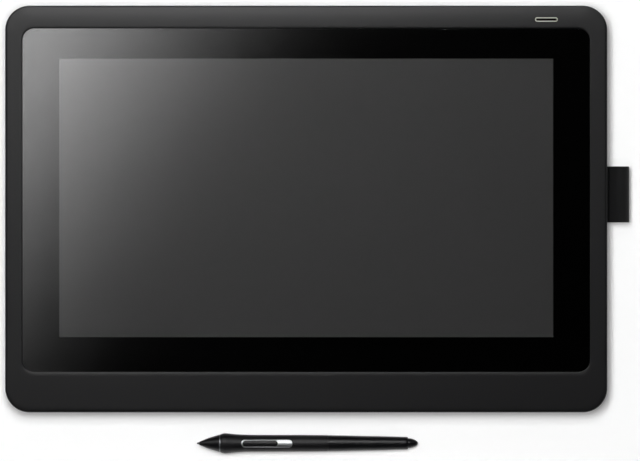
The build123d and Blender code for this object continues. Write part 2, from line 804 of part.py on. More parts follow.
# Spare nibs in a holder inside the left leg, with the ring that pulls a worn nib
nib_radius = 0.8
bay_floor = back_level + leg_skin
holder_x = -leg_x + (bay_width + leg_skin) / 2
holder_y = bay_middle
holder_top = bay_floor + 4.6
nib_pitch = 3.2
with BuildPart() as nib_holder:
    with BuildSketch(level(bay_floor)):
        with Locations((holder_x, holder_y)):
            RectangleRounded(bay_width - 0.6, bay_depth - 0.6, 0.8)
    extrude(amount=holder_top - bay_floor)
    with BuildSketch(level(holder_top - 2.2)):
        with Locations((holder_x, holder_y)):
            with GridLocations(1, nib_pitch, 1, 6):
                Rectangle(17.0, 2 * nib_radius + 0.2)
    extrude(amount=2.2, mode=Mode.SUBTRACT)
    block(around(holder_x, 5.0), around(holder_y, 19.0), (holder_top - 3.2, holder_top), Mode.SUBTRACT)
pieces["nib_holder"] = nib_holder

with BuildPart() as spare_nibs:
    with BuildSketch(upright(-leg_x + (bay_width + leg_skin) / 2 - 8.0)):
        with Locations((holder_y, holder_top - 2.2 + nib_radius)):
            with GridLocations(nib_pitch, 1, 6, 1):
                Circle(nib_radius)
    extrude(amount=16.0)
pieces["spare_nibs"] = spare_nibs

puller_x = -leg_x - (bay_width + leg_skin) / 2
with BuildPart() as nib_puller:
    with BuildSketch(level(bay_floor)):
        with Locations((puller_x, bay_middle)):
            SlotOverall(18.0, 9.0)
        with Locations((puller_x - 4.5, bay_middle)):
            Circle(2.6, mode=Mode.SUBTRACT)
        with Locations((puller_x + 4.5, bay_middle)):
            Circle(nib_radius + 0.15, mode=Mode.SUBTRACT)
    extrude(amount=1.2)
pieces["nib_puller"] = nib_puller

# Pen loop: a folded band of webbing whose two ends meet in a plastic anchor
loop_nose = 6.0
loop_end = body_width / 2 + loop_reach
band_start = body_width / 2 - 7.6
neck_x = body_width / 2 + 1.4
loop_edge = crosswise(loop_y - loop_width / 2)
with BuildPart() as pen_loop:
    with BuildSketch(loop_edge):
        with BuildLine():
            CenterArc((loop_end - loop_nose, loop_z), loop_nose, 0, 360)
            CenterArc((neck_x, loop_z), webbing, 0, 360)
        make_hull()
        with Locations(((band_start + neck_x) / 2, loop_z)):
            Rectangle(neck_x - band_start, 2 * webbing)
    extrude(amount=-loop_width)
    with BuildSketch(loop_edge):
        with BuildLine():
            CenterArc((loop_end - loop_nose, loop_z), loop_nose - webbing, 0, 360)
            CenterArc((neck_x + 1.6, loop_z), 0.15, 0, 360)
        make_hull()
    extrude(amount=-loop_width, mode=Mode.SUBTRACT)
pieces["pen_loop"] = pen_loop

with BuildPart() as loop_anchor:
    anchor_x = (body_width / 2 - anchor_depth, body_width / 2 - 0.2)
    block(anchor_x, around(loop_y, anchor_width), around(loop_z, anchor_height))
    block((band_start, anchor_x[1]), around(loop_y, loop_width), around(loop_z, 2 * webbing), Mode.SUBTRACT)
pieces["loop_anchor"] = loop_anchor

# Pen. It rests on its flare and on its barrel, so it tilts a little.
joint_place = 92.3
joint_radius = 5.62
flare_place = 19.7
rest_place = 104.0
rest_radius = 5.42
rest_gap = 0.02
pen_tilt = asin((pen_flare_radius - rest_radius) / (rest_place - flare_place)) * 0.97
tip_height = pen_flare_radius / cos(pen_tilt) + flare_place * sin(pen_tilt) + rest_gap
pen_tip = Vector(
    centre_x + pen_nib_x,
    centre_y - body_depth / 2 - pen_gap - pen_flare_radius,
    tip_height,
)
pen_direction = Vector(cos(pen_tilt), 0, -sin(pen_tilt))
pen_side = Plane(origin=pen_tip, x_dir=pen_direction, z_dir=(0, -1, 0))
pen_axis = Axis(pen_tip, pen_direction)
print("pen tilt", round(degrees(pen_tilt), 3), "tip", pen_tip, "direction", pen_direction)


def pen_across(place):
    """A plane square to the pen at a place along it: its own y runs up."""
    return Plane(origin=pen_tip + pen_direction * place, x_dir=(0, -1, 0), z_dir=pen_direction)


def pen_above(height, place=0.0):
    """A plane along the pen, at a height over its middle line: its own x runs along the pen."""
    return Plane(
        origin=pen_tip + pen_direction * place + pen_side.y_dir * height,
        x_dir=pen_direction,
        z_dir=pen_side.y_dir,
    )


def turned(*corners):
    """A ring or rod turned about the pen's middle line from corners given as (place, radius)."""
    with BuildSketch(pen_side) as profile:
        with BuildLine():
            Polyline(*corners, close=True)
        make_face()
    revolve(profile.sketch, axis=pen_axis)


def bushing(start, end, inner, outer, mode=Mode.ADD):
    """A plain tube, or a rod where the inner radius is nothing."""
    with BuildSketch(pen_across(start)) as outline:
        Circle(outer)
        if inner:
            Circle(inner, mode=Mode.SUBTRACT)
    extrude(outline.sketch, amount=end - start, mode=mode)


nose_start = 1.9
nose_mouth = 1.15
ring_start = 15.7
ring_end = 16.5
ring_radius = 6.1
nose_end_radius = ring_radius - 0.08
nib_end = 17.0
nib_gap = 0.12
nose_bore = 2.9
grip_bore = 4.25
core_radius = 4.2
core_bore = 3.3
barrel_end = 148.7
eraser_start = 149.9
pen_length = 155.6

with BuildPart() as pen_nib:
    with BuildSketch(pen_side):
        with BuildLine():
            nib_point = ThreePointArc((0, 0), (0.22, 0.42), (0.9, 0.72))
            Polyline(nib_point @ 1, (1.6, nib_radius), (nib_end, nib_radius), (nib_end, 0), nib_point @ 0)
        make_face()
    revolve(axis=pen_axis)
pieces["pen_nib"] = pen_nib

with BuildPart() as pen_nose:
    with BuildSketch(pen_side):
        with BuildLine():
            outer_line = ThreePointArc((nose_start, nose_mouth), (8.2, 3.72), (ring_start, nose_end_radius))
            Polyline(
                outer_line @ 1,
                (ring_start, nose_bore),
                (8.8, nose_bore),
                (7.6, nib_radius + nib_gap),
                (nose_start, nib_radius + nib_gap),
                outer_line @ 0,
            )
        make_face()
    revolve(axis=pen_axis)
pieces["pen_nose"] = pen_nose

with BuildPart() as pen_ring:
    bushing(ring_start, ring_end, nose_bore, ring_radius)
pieces["pen_ring"] = pen_ring

# The side switch sits in a silver frame let into the top of the grip
frame_middle = 49.2
frame_length = 36.4
frame_width = 5.7
rocker_middle = 44.5
rocker_length = 24.3
rocker_width = 3.8
rocker_floor = 2.9
rocker_pivot = 4.9
rocker_pin_radius = 0.4
rocker_pin_length = 5.0
rocker_top = 6.4
rocker_dip = 0.15
rocker_hollow = 40.0
dome_spacing = 16.0


def rocker_pins(radius, length, mode=Mode.ADD):
    """The cross pin that the rocker tilts on, or the hole for it."""
    with BuildSketch(pen_side) as outline:
        with Locations((rocker_middle, rocker_pivot)):
            Circle(radius)
    extrude(outline.sketch, amount=length / 2, both=True, mode=mode)


with BuildPart() as pen_grip:
    with BuildSketch(pen_side):
        with BuildLine():
            rise = Spline(
                (ring_end, ring_radius + 0.1),
                (flare_place, pen_flare_radius),
                tangents=((1, 0.4), (1, 0)),
            )
            fall = Spline(
                rise @ 1,
                (26.4, 6.48),
                (36.0, 5.97),
                tangents=((1, 0), (1, -0.02)),
            )
            slim = Spline(
                fall @ 1,
                (62.0, 5.82),
                (joint_place, joint_radius),
                tangents=((1, -0.02), (1, -0.01)),
            )
            Polyline(slim @ 1, (joint_place, grip_bore), (ring_end, grip_bore), rise @ 0)
        make_face()
    revolve(axis=pen_axis)
    with BuildSketch(pen_above(3.0, frame_middle)):
        SlotOverall(frame_length, frame_width)
    extrude(amount=6.0, mode=Mode.SUBTRACT)
pieces["pen_grip"] = pen_grip

with BuildPart() as pen_core:
    bushing(ring_end, 97.0, core_bore, core_radius)
    with BuildSketch(pen_above(rocker_floor, rocker_middle)):
        SlotOverall(rocker_length + 1.6, rocker_width + 0.9)
    extrude(amount=4.0, mode=Mode.SUBTRACT)
pieces["pen_core"] = pen_core

with BuildPart() as pen_barrel:
    with BuildSketch(pen_side):
        with BuildLine():
            taper = Spline(
                (joint_place, joint_radius),
                (rest_place, rest_radius),
                (126.0, 4.95),
                (barrel_end - 0.7, 4.38),
                tangents=((1, -0.01), (1, -0.028)),
            )
            Polyline(
                taper @ 1,
                (barrel_end, 4.0),
                (barrel_end, 3.25),
                (112.0, 4.0),
                (97.2, grip_bore),
                (joint_place, grip_bore),
                taper @ 0,
            )
        make_face()
    revolve(axis=pen_axis)
pieces["pen_barrel"] = pen_barrel

with BuildPart() as pen_eraser:
    with BuildSketch(pen_side):
        with BuildLine():
            dome = Spline(
                (eraser_start, 3.4),
                (152.0, 2.92),
                (154.4, 1.85),
                (pen_length, 0),
                tangents=((1, -0.12), (0, -1)),
            )
            Polyline(
                dome @ 1,
                (141.4, 0),
                (141.4, 1.2),
                (147.6, 1.2),
                (147.6, 3.0),
                (eraser_start, 3.0),
                dome @ 0,
            )
        make_face()
    revolve(axis=pen_axis)
pieces["pen_eraser"] = pen_eraser

with BuildPart() as pen_switch_frame:
    bushing(frame_middle - 20.0, frame_middle + 20.0, 4.5, 6.02)
    with BuildSketch(pen_above(core_radius, frame_middle)):
        SlotOverall(frame_length - 0.1, frame_width - 0.1)
    extrude(amount=3.0, mode=Mode.INTERSECT)
    with BuildSketch(pen_above(core_radius, rocker_middle)):
        SlotOverall(rocker_length + 0.5, rocker_width + 0.4)
    extrude(amount=4.0, mode=Mode.SUBTRACT)
    rocker_pins(rocker_pin_radius + running_gap, rocker_pin_length + 0.1, Mode.SUBTRACT)
pieces["pen_switch_frame"] = pen_switch_frame

with BuildPart() as pen_switch:
    bushing(rocker_middle - 14.0, rocker_middle + 14.0, 0, rocker_top)
    with BuildSketch(pen_above(rocker_floor + 0.9, rocker_middle)):
        SlotOverall(rocker_length, rocker_width)
    extrude(amount=3.0, mode=Mode.INTERSECT)
    with BuildSketch(pen_above(rocker_floor + 0.1, rocker_middle)):
        with GridLocations(dome_spacing, 1, 2, 1):
            Circle(0.8)
    extrude(amount=1.0)
    with BuildSketch(pen_side):
        with Locations((rocker_middle, rocker_top - rocker_dip + rocker_hollow)):
            Circle(rocker_hollow)
    extrude(amount=rocker_width, both=True, mode=Mode.SUBTRACT)
    rocker_pins(rocker_pin_radius, rocker_pin_length)
pieces["pen_switch"] = pen_switch

# Works of the pen: circuit board, its two switches, coils and force sensors
with BuildPart() as pen_board:
    with BuildSketch(pen_above(0.4, 70.0)):
        Rectangle(84.0, 6.1)
    extrude(amount=0.8)
pieces["pen_board"] = pen_board

with BuildPart() as pen_domes:
    with BuildSketch(pen_above(1.2, rocker_middle)):
        with GridLocations(dome_spacing, 1, 2, 1):
            Rectangle(2.6, 2.6)
    extrude(amount=1.1)
pieces["pen_domes"] = pen_domes

with BuildPart() as pen_nib_coil:
    bushing(9.2, ring_start - 0.3, nib_radius + 0.3, nose_bore - 0.15)
pieces["pen_nib_coil"] = pen_nib_coil

with BuildPart() as pen_nib_sensor:
    bushing(ring_end + 0.2, 26.0, 0, 3.25)
    bushing(ring_end + 0.2, nib_end + 0.6, 0, nib_radius + nib_gap, Mode.SUBTRACT)
pieces["pen_nib_sensor"] = pen_nib_sensor

with BuildPart() as pen_eraser_coil:
    bushing(141.6, 146.2, 1.35, 3.25)
pieces["pen_eraser_coil"] = pen_eraser_coil

with BuildPart() as pen_eraser_sensor:
    bushing(132.0, 140.2, 0, 3.35)
pieces["pen_eraser_sensor"] = pen_eraser_sensor

# Every piece is labelled and written under its own name
os.makedirs("parts", exist_ok=True)
for name, piece in pieces.items():
    piece.part.label = name
    export_step(piece.part, f"parts/{name}.step")
print(len(pieces), "nodes")
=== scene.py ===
# %% [markdown]
# # A graphics tablet with a screen, and its pen
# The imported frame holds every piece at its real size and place. This lesson dresses it: the pieces that
# show most are built again as smooth meshes, and every piece gets the finish of the material it is made of.

# %% Load the frame and take its measures
import json
from math import asin, cos, pi, sin

import bmesh
import bpy
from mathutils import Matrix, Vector


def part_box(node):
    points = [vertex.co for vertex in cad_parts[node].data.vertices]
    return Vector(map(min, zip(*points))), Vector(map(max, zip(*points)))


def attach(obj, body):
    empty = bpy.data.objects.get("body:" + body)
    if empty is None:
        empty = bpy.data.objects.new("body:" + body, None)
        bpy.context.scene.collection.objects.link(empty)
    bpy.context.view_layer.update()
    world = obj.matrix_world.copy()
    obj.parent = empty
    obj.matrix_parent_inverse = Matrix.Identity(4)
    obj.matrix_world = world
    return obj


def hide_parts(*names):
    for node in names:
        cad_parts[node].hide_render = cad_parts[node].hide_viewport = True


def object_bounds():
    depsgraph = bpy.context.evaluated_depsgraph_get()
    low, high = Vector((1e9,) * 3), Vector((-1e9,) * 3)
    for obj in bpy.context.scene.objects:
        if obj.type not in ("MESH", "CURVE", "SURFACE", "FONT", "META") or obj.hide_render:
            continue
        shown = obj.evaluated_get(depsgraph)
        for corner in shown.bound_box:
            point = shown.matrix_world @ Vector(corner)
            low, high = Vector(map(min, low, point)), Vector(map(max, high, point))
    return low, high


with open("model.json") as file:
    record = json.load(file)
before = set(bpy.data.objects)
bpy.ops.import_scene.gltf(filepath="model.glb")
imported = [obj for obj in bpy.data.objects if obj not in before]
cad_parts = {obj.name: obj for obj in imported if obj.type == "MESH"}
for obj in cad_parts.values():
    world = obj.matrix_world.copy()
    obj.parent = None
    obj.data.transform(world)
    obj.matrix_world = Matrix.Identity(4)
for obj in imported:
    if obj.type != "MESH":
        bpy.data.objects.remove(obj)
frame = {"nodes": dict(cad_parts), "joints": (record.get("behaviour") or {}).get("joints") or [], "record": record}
nodes = frame["nodes"]
cad_box = [list(corner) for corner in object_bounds()]

MM = 0.001
bezel_low, bezel_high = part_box("front_bezel")
glass_low, glass_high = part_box("cover_glass")
tablet = (bezel_low + bezel_high) / 2
glass_middle = (glass_low + glass_high) / 2
print("tablet", [round(v / MM, 1) for v in bezel_high - bezel_low], "mm")

# %% [markdown]
# Four small helpers serve the whole lesson. Colours are written as the sRGB hex values that an eye would
# match on a screen, and shaders work in linear light, so one function turns the first into the second. One
# adds a node to a material or geometry tree, with its settings, its values and its links in one call. The
# last two start a material and put an object in the scene.

# %% Helpers for colours, nodes, materials and objects
def linear(hex_colour):
    """Turn an sRGB hex colour into linear red, green, blue and alpha."""
    channels = [int(hex_colour[i : i + 2], 16) / 255 for i in (1, 3, 5)]
    return [c / 12.92 if c <= 0.04045 else ((c + 0.055) / 1.055) ** 2.4 for c in channels] + [1.0]


def add_node(tree, kind, inputs=None, **settings):
    """Add a node. Settings are its own options. Each input is a value, or a socket or node to link from."""
    node = tree.nodes.new(kind)
    for name, value in settings.items():
        setattr(node, name, value)
    for name, value in (inputs or {}).items():
        if isinstance(value, bpy.types.Node):
            value = value.outputs[0]
        if isinstance(value, bpy.types.NodeSocket):
            tree.links.new(value, node.inputs[name])
        else:
            node.inputs[name].default_value = value
    return node


def new_finish(name):
    """Start a material and return it with its tree, its shader and the piece's own coordinates in metres."""
    finish = bpy.data.materials.new(name)
    finish.use_nodes = True
    tree = finish.node_tree
    place = add_node(tree, "ShaderNodeTexCoord").outputs["Object"]
    return finish, tree, tree.nodes["Principled BSDF"], place


def scene_object(name, data):
    """Make an object of its data and put it in the scene."""
    item = bpy.data.objects.new(name, data)
    bpy.context.scene.collection.objects.link(item)
    return item


print("a mid grey in linear light:", [round(c, 3) for c in linear("#808080")])

# %% [markdown]
# ## Camera
# The photograph looks straight down on the desk from far away, so nothing in it shows its sides. A long
# lens high above the desk gives the same flat view. Its focal length follows from the width of desk in the
# frame.

# %% Camera
desk_in_view = 448.4 * MM
aim_right, aim_near = 9.67 * MM, 15.06 * MM
camera_height = 4.0
camera_data = bpy.data.cameras.new("camera")
camera_data.sensor_width = 36.0
camera_data.lens = camera_data.sensor_width * camera_height / desk_in_view
camera_data.clip_end = 50.0
camera = scene_object("camera", camera_data)
aim = Vector((tablet.x + aim_right, tablet.y - aim_near, bezel_high.z))
camera.location = aim + Vector((0, 0, camera_height))
bpy.context.scene.camera = camera
bpy.context.scene.view_settings.view_transform = "Standard"
print("lens", round(camera_data.lens), "mm")

# %% [markdown]
# ## Light
# The glass of the real tablet mirrors a softbox that hangs towards the top left. Its glow fades towards the
# middle of the room, and that fade is what the glass shows as a grey sheen that ends in black. So the
# softbox is a card whose emission grows with a power of the distance from a line. Near its far end it has
# one brighter patch, which lights the top strip of the bezel most. A single lamp would give a hard spot.

# %% Softbox card
card_height = 2.0
fade_direction = Vector((-0.826, 0.564, 0.0))
fade_start = 0.085
fade_length = 0.281
fade_top = 0.967
fade_power = 2.63
fade_level = 9.6
card_left, card_right, card_near, card_far = -0.375, 0.247, -0.35, 0.751
patch_middle = Vector((-0.168, 0.664, 0.0))
patch_size = Vector((0.154, 0.081, 1.0))
patch_level = 34.0


def mesh_object(name, points, faces=()):
    """An object with a mesh of points and faces."""
    mesh = bpy.data.meshes.new(name)
    mesh.from_pydata(points, [], faces)
    return scene_object(name, mesh)


def softbox():
    """A card under the ceiling whose glow fades to nothing along a line."""
    height = bezel_high.z + card_height
    corners = [(card_left, card_near, height), (card_left, card_far, height)]
    corners += [(card_right, card_far, height), (card_right, card_near, height)]
    card = mesh_object("softbox", corners, [(0, 1, 2, 3)])
    cloth, tree, shader, place = new_finish("softbox_cloth")
    tree.nodes.remove(shader)
    math, vector = "ShaderNodeMath", "ShaderNodeVectorMath"
    along = add_node(tree, vector, {0: place, 1: fade_direction}, operation="DOT_PRODUCT").outputs["Value"]
    past = add_node(tree, math, {0: along, 1: fade_start}, operation="SUBTRACT")
    share = add_node(
        tree, "ShaderNodeMapRange", {"Value": past, "From Max": fade_length * fade_top, "To Max": fade_top}
    )
    grown = add_node(tree, math, {0: share, 1: fade_power}, operation="POWER")
    flat = add_node(tree, vector, {0: place, 1: (1, 1, 0)}, operation="MULTIPLY")
    aside = add_node(tree, vector, {0: flat, 1: patch_middle}, operation="SUBTRACT")
    scaled = add_node(tree, vector, {0: aside, 1: patch_size}, operation="DIVIDE")
    square = add_node(tree, vector, {0: scaled, 1: scaled}, operation="DOT_PRODUCT").outputs["Value"]
    minus = add_node(tree, math, {0: square, 1: -1.0}, operation="MULTIPLY")
    bell = add_node(tree, math, {0: minus}, operation="EXPONENT")
    patch = add_node(tree, math, {0: bell, 1: patch_level}, operation="MULTIPLY")
    level = add_node(tree, math, {0: grown, 1: fade_level, 2: patch}, operation="MULTIPLY_ADD")
    light = add_node(tree, "ShaderNodeEmission", {"Strength": level})
    tree.links.new(light.outputs[0], tree.nodes["Material Output"].inputs["Surface"])
    card.data.materials.append(cloth)
    card.visible_camera = False


softbox()
print("softbox card", round(card_right - card_left, 2), "by", round(card_far - card_near, 2), "m")

# %% [markdown]
# The main light is a round soft lamp nearly overhead, a little to the top left, so the tablet throws a
# short soft shadow to the right and towards the user. It is kept out of mirrors: what the glass shows is
# the card. A second lamp under the desk lights the back for views from below. From above it can't be seen
# at work.

# %% Lamps
lamp_drop = 0.05
lamp_place = Vector((-0.101, 0.110, card_height - lamp_drop))
lamp_width = 0.70
lamp_watts = 28.6
under_lamp_place = Vector((0.0, 0.0, -1.5))
under_lamp_width = 1.4
under_lamp_watts = 60.0


def disc_lamp(name, place, width, watts, turn=0.0):
    """A round soft lamp that shines down, or up where it is turned over."""
    data = bpy.data.lights.new(name, "AREA")
    data.shape = "DISK"
    data.size = width
    data.energy = watts
    lamp = scene_object(name, data)
    lamp.location = place
    lamp.rotation_euler.x = turn
    lamp.visible_glossy = False
    lamp.visible_camera = False
    print(name, width, "m wide,", watts, "W")


disc_lamp("overhead_lamp", lamp_place, lamp_width, lamp_watts)
disc_lamp("under_lamp", under_lamp_place, under_lamp_width, under_lamp_watts, pi)

# %% [markdown]
# The room itself is a plain studio. For light that scatters it is an even soft fill. Mirrors see three
# things: a low wall all round, pale on the far side and grey on the user's side, two round glows, and a
# dark ceiling, or black gloss would look grey everywhere. The bright glow is high on the far side and draws
# the soft line along the upper flank of the pen. The faint one is further left, where the cone of the pen's
# nose mirrors it. Both have a hard bound, so the flat glass mirrors them only from a few steep views.

# %% Room
fill_level = 0.12
wall_top = 0.20
wall_fade = 0.12
near_wall_level = 0.3
near_wall_reach = 0.5
far_glow = {"aim": (-0.06, 0.47, 0.88), "rim": 0.955, "heart": 0.99, "level": 6.0}
left_glow = {"aim": (-0.60, 0.40, 0.69), "rim": 0.93, "heart": 0.985, "level": 1.6}


def glow_node(tree, direction, aim, rim, heart, level):
    """The level of a round glow, which is full inside its heart and ends at its rim. Both are cosines."""
    nearness = add_node(
        tree, "ShaderNodeVectorMath", {0: direction, 1: Vector(aim).normalized()}, operation="DOT_PRODUCT"
    )
    return add_node(
        tree, "ShaderNodeMapRange",
        {"Value": nearness.outputs["Value"], "From Min": rim, "From Max": heart, "To Max": level},
        interpolation_type="SMOOTHSTEP",
    )


def room():
    """World light: even fill for scattered light, walls for mirrors, white behind the scene."""
    world = bpy.data.worlds.new("studio")
    world.use_nodes = True
    bpy.context.scene.world = world
    tree = world.node_tree
    direction = add_node(tree, "ShaderNodeTexCoord").outputs["Generated"]
    aim_parts = add_node(tree, "ShaderNodeSeparateXYZ", {0: direction}).outputs
    wall_level = add_node(
        tree, "ShaderNodeMapRange",
        {"Value": aim_parts["Y"], "From Min": -near_wall_reach, "From Max": near_wall_reach,
         "To Min": near_wall_level, "To Max": 1.0},
    )
    wall = add_node(
        tree, "ShaderNodeMapRange",
        {"Value": aim_parts["Z"], "From Min": wall_top, "From Max": wall_top + wall_fade,
         "To Min": wall_level, "To Max": 0.0},
    )
    math = "ShaderNodeMath"
    for glow in (far_glow, left_glow):
        wall = add_node(tree, math, {0: wall, 1: glow_node(tree, direction, **glow)}, operation="MAXIMUM")
    rays = add_node(tree, "ShaderNodeLightPath").outputs
    mirrored = add_node(
        tree, math, {0: rays["Is Glossy Ray"], 1: rays["Is Transmission Ray"]}, operation="MAXIMUM"
    )
    level = add_node(tree, "ShaderNodeMix", {0: mirrored, 2: fill_level, 3: wall})
    strength = add_node(tree, math, {0: level, 1: rays["Is Camera Ray"]}, operation="MAXIMUM")
    background = tree.nodes["Background"].inputs
    tree.links.new(strength.outputs[0], background["Strength"])
    background["Color"].default_value = linear("#ffffff")


room()
print("fill level", fill_level)

# %% [markdown]
# The desk is a plain pale sheet that keeps the soft shadow of the tablet. Far from the tablet it passes
# into white, so it has no visible end. From below it is clear, and it lets the lamp under it through, so
# that the back of the tablet can be looked at.

# %% Desk
desk_half = 6.0
desk_gap = 0.02
shadow_reach = 0.42
shadow_fade = 0.35
paper_glow = 0.045


def desk():
    """A large pale plane at the height that the tablet's feet stand on."""
    level = cad_box[0][2] - desk_gap * MM
    corners = [(x * desk_half, y * desk_half, level) for x, y in ((-1, -1), (1, -1), (1, 1), (-1, 1))]
    sheet = mesh_object("desk", corners, [(0, 1, 2, 3)])
    paper, tree, shader, place = new_finish("matt_desk_paper")
    tree.nodes.remove(shader)
    math = "ShaderNodeMath"
    distance = add_node(tree, "ShaderNodeVectorMath", {0: place}, operation="LENGTH").outputs["Value"]
    far = add_node(
        tree, "ShaderNodeMapRange",
        {"Value": distance, "From Min": shadow_reach, "From Max": shadow_reach + shadow_fade},
        interpolation_type="SMOOTHSTEP",
    )
    rays = add_node(tree, "ShaderNodeLightPath").outputs
    scattered = add_node(tree, math, {0: 1.0, 1: rays["Is Diffuse Ray"]}, operation="SUBTRACT")
    white_share = add_node(tree, math, {0: far, 1: scattered}, operation="MULTIPLY")
    matt = add_node(tree, "ShaderNodeBsdfDiffuse", {"Color": linear("#f9f9f9")})
    lift = add_node(tree, math, {0: scattered, 1: paper_glow}, operation="MULTIPLY")
    glow = add_node(tree, "ShaderNodeEmission", {"Strength": lift})
    near = add_node(tree, "ShaderNodeAddShader", {0: matt, 1: glow})
    white = add_node(tree, "ShaderNodeEmission", {"Strength": 1.0})
    top = add_node(tree, "ShaderNodeMixShader", {0: white_share, 1: near, 2: white})
    clear = add_node(tree, "ShaderNodeBsdfTransparent")
    below = add_node(tree, "ShaderNodeNewGeometry").outputs["Backfacing"]
    open_way = add_node(tree, math, {0: below, 1: rays["Is Shadow Ray"]}, operation="MAXIMUM")
    both = add_node(tree, "ShaderNodeMixShader", {0: open_way, 1: top, 2: clear})
    tree.links.new(both.outputs[0], tree.nodes["Material Output"].inputs["Surface"])
    sheet.data.materials.append(paper)


desk()
print("desk at", round(cad_box[0][2] / MM, 2), "mm")

# %% [markdown]
# ## Finishes
# Most of what shows is moulded plastic. Its mould is spark-eroded, which leaves a fine grain that scatters
# the light and hides scratches. The grain is drawn as noise: it tints the colour, varies the gloss and
# lifts the surface a little through a bump.

# %% A grained finish, and the plastics made with it
def set_fixed(shader, values):
    """Set values that are the same all over a surface on the shader's own sockets."""
    for socket, value in values.items():
        shader.inputs[socket.replace("_", " ")].default_value = value


def draw_pattern(tree, shader, pattern, dark, light, gloss=None, relief=0.0, strength=1.0, invert=False):
    """Let a pattern tint a surface. Where asked, it varies the roughness and lifts by a relief in mm too."""
    tint = add_node(tree, "ShaderNodeMix", {0: pattern, 6: linear(dark), 7: linear(light)}, data_type="RGBA")
    tree.links.new(tint.outputs[2], shader.inputs["Base Color"])
    if gloss:
        span = {"Value": pattern, "To Min": gloss[0], "To Max": gloss[1]}
        rough = add_node(tree, "ShaderNodeMapRange", span)
        tree.links.new(rough.outputs[0], shader.inputs["Roughness"])
    if relief:
        height = {"Height": pattern, "Strength": strength, "Distance": relief * MM}
        bump = add_node(tree, "ShaderNodeBump", height, invert=invert)
        tree.links.new(bump.outputs[0], shader.inputs["Normal"])


def grained(name, dark, light, roughness, grain, relief, spread=0.06, **fixed):
    """A finish with a fine random grain. Grain is its size and relief its height, both in millimetres."""
    finish, tree, shader, place = new_finish(name)
    noise = add_node(tree, "ShaderNodeTexNoise", {"Vector": place, "Scale": 1 / (grain * MM), "Detail": 2.0})
    draw_pattern(tree, shader, noise, dark, light, (roughness - spread, roughness + spread), relief)
    set_fixed(shader, fixed)
    return finish


# What is bonded to the back of the cover glass carries the soft mirror of its etched face as a clear coat
etched_face = {"Coat_Weight": 1.0, "Coat_Roughness": 0.085, "Coat_IOR": 1.5}
finishes = {
    # Spark-eroded black ABS. The real grain of 0.1 mm is drawn at 0.5 mm so that it shows
    "bezel_plastic": grained(
        "spark_eroded_black_abs", "#0a0a0b", "#0c0c0d", 0.35, 0.5, 0.002, 0.04,
        IOR=1.53, Specular_IOR_Level=0.24,
    ),
    # Coarser grain on the cover, which hands hold
    "cover_plastic": grained(
        "coarse_moulded_black_abs", "#161617", "#202021", 0.48, 0.8, 0.03, IOR=1.53, Specular_IOR_Level=0.4
    ),
    "barrel_plastic": grained(
        "satin_black_abs", "#08080a", "#0c0c0d", 0.36, 0.6, 0.003, IOR=1.53, Specular_IOR_Level=0.32
    ),
    # A soft lacquer on rubber scatters more than it mirrors, so the grip looks duller than the barrel
    "grip_rubber": grained(
        "soft_touch_rubber", "#08080a", "#0c0c0d", 0.50, 0.35, 0.006, IOR=1.52, Specular_IOR_Level=0.44
    ),
    "foot_rubber": grained("black_silicone_rubber", "#17171a", "#232326", 0.70, 0.5, 0.015, IOR=1.41),
    "nib_grey": grained("grey_pom_nib", "#3a3b3c", "#4b4c4e", 0.45, 0.2, 0.004, IOR=1.48),
    "border_black": grained(
        "black_screen_print", "#000000", "#020202", 0.5, 0.3, 0.001, Specular_IOR_Level=0.0, **etched_face
    ),
    "clear_sheet": grained("diffuser_film", "#d9dde0", "#eef1f3", 0.35, 1.2, 0.002),
    "white_sheet": grained("white_reflector_film", "#ececea", "#f6f6f4", 0.55, 1.0, 0.002),
    "chip_black": grained("black_epoxy_chip", "#1b1b1c", "#29292b", 0.5, 0.3, 0.006),
    "connector_cream": grained("cream_nylon_connector", "#d8d2bd", "#e6e1cf", 0.5, 0.5, 0.004),
    "ribbon": grained("white_flat_ribbon", "#d4d6d8", "#e4e6e8", 0.45, 0.8, 0.003),
    "part_grey": grained("grey_ferrite", "#55575a", "#6a6d70", 0.55, 0.3, 0.01),
    "light_ring": grained("frosted_light_pipe", "#a9a89c", "#bdbcb0", 0.42, 0.3, 0.002, IOR=1.49),
}
print(len(finishes), "grained finishes")

# %% [markdown]
# Metals keep the colour in their mirror and have no scatter of their own. Brushed steel has long fine
# scratches, so its noise is stretched along one axis by a Mapping node. Plated trim is smoother and
# brighter.

# %% Metals
def brushed(name, dark, light, roughness, scratch_width, scratch_length, relief, spread=0.08):
    """A metal with scratches along X, both of their sizes in millimetres."""
    finish, tree, shader, place = new_finish(name)
    along, across = 1 / (scratch_length * MM), 1 / (scratch_width * MM)
    stretched = add_node(tree, "ShaderNodeMapping", {"Vector": place, "Scale": (along, across, across)})
    noise = add_node(tree, "ShaderNodeTexNoise", {"Vector": stretched, "Scale": 1.0, "Detail": 3.0})
    draw_pattern(tree, shader, noise, dark, light, (roughness - spread, roughness + spread), relief)
    set_fixed(shader, {"Metallic": 1.0})
    return finish


finishes["silver_trim"] = brushed("satin_chrome_plating", "#c4c6c8", "#dfe1e3", 0.45, 0.15, 3.0, 0.001)
finishes["bright_steel"] = brushed("ground_steel", "#a9acae", "#c9ccce", 0.32, 0.2, 4.0, 0.003)
finishes["chassis_metal"] = brushed("zinc_plated_sheet", "#9da3a3", "#bcc1c0", 0.38, 0.6, 6.0, 0.002)
finishes["black_screw"] = brushed("black_oxide_steel", "#26282b", "#3a3d41", 0.40, 0.2, 0.6, 0.003)
finishes["coil_copper"] = brushed("enamelled_copper", "#9a5527", "#c67a42", 0.30, 0.25, 5.0, 0.006)
print(len(finishes), "finishes with the metals")

# %% [markdown]
# The screen is off. What shows through the glass is the front polariser: a dark grey film in front of a
# grid of cells that is far too fine to see. The film is matt, so it stays evenly dark, a little lighter
# than the print around it. Its haze varies slightly, and a soft mottle several millimetres wide gives that.

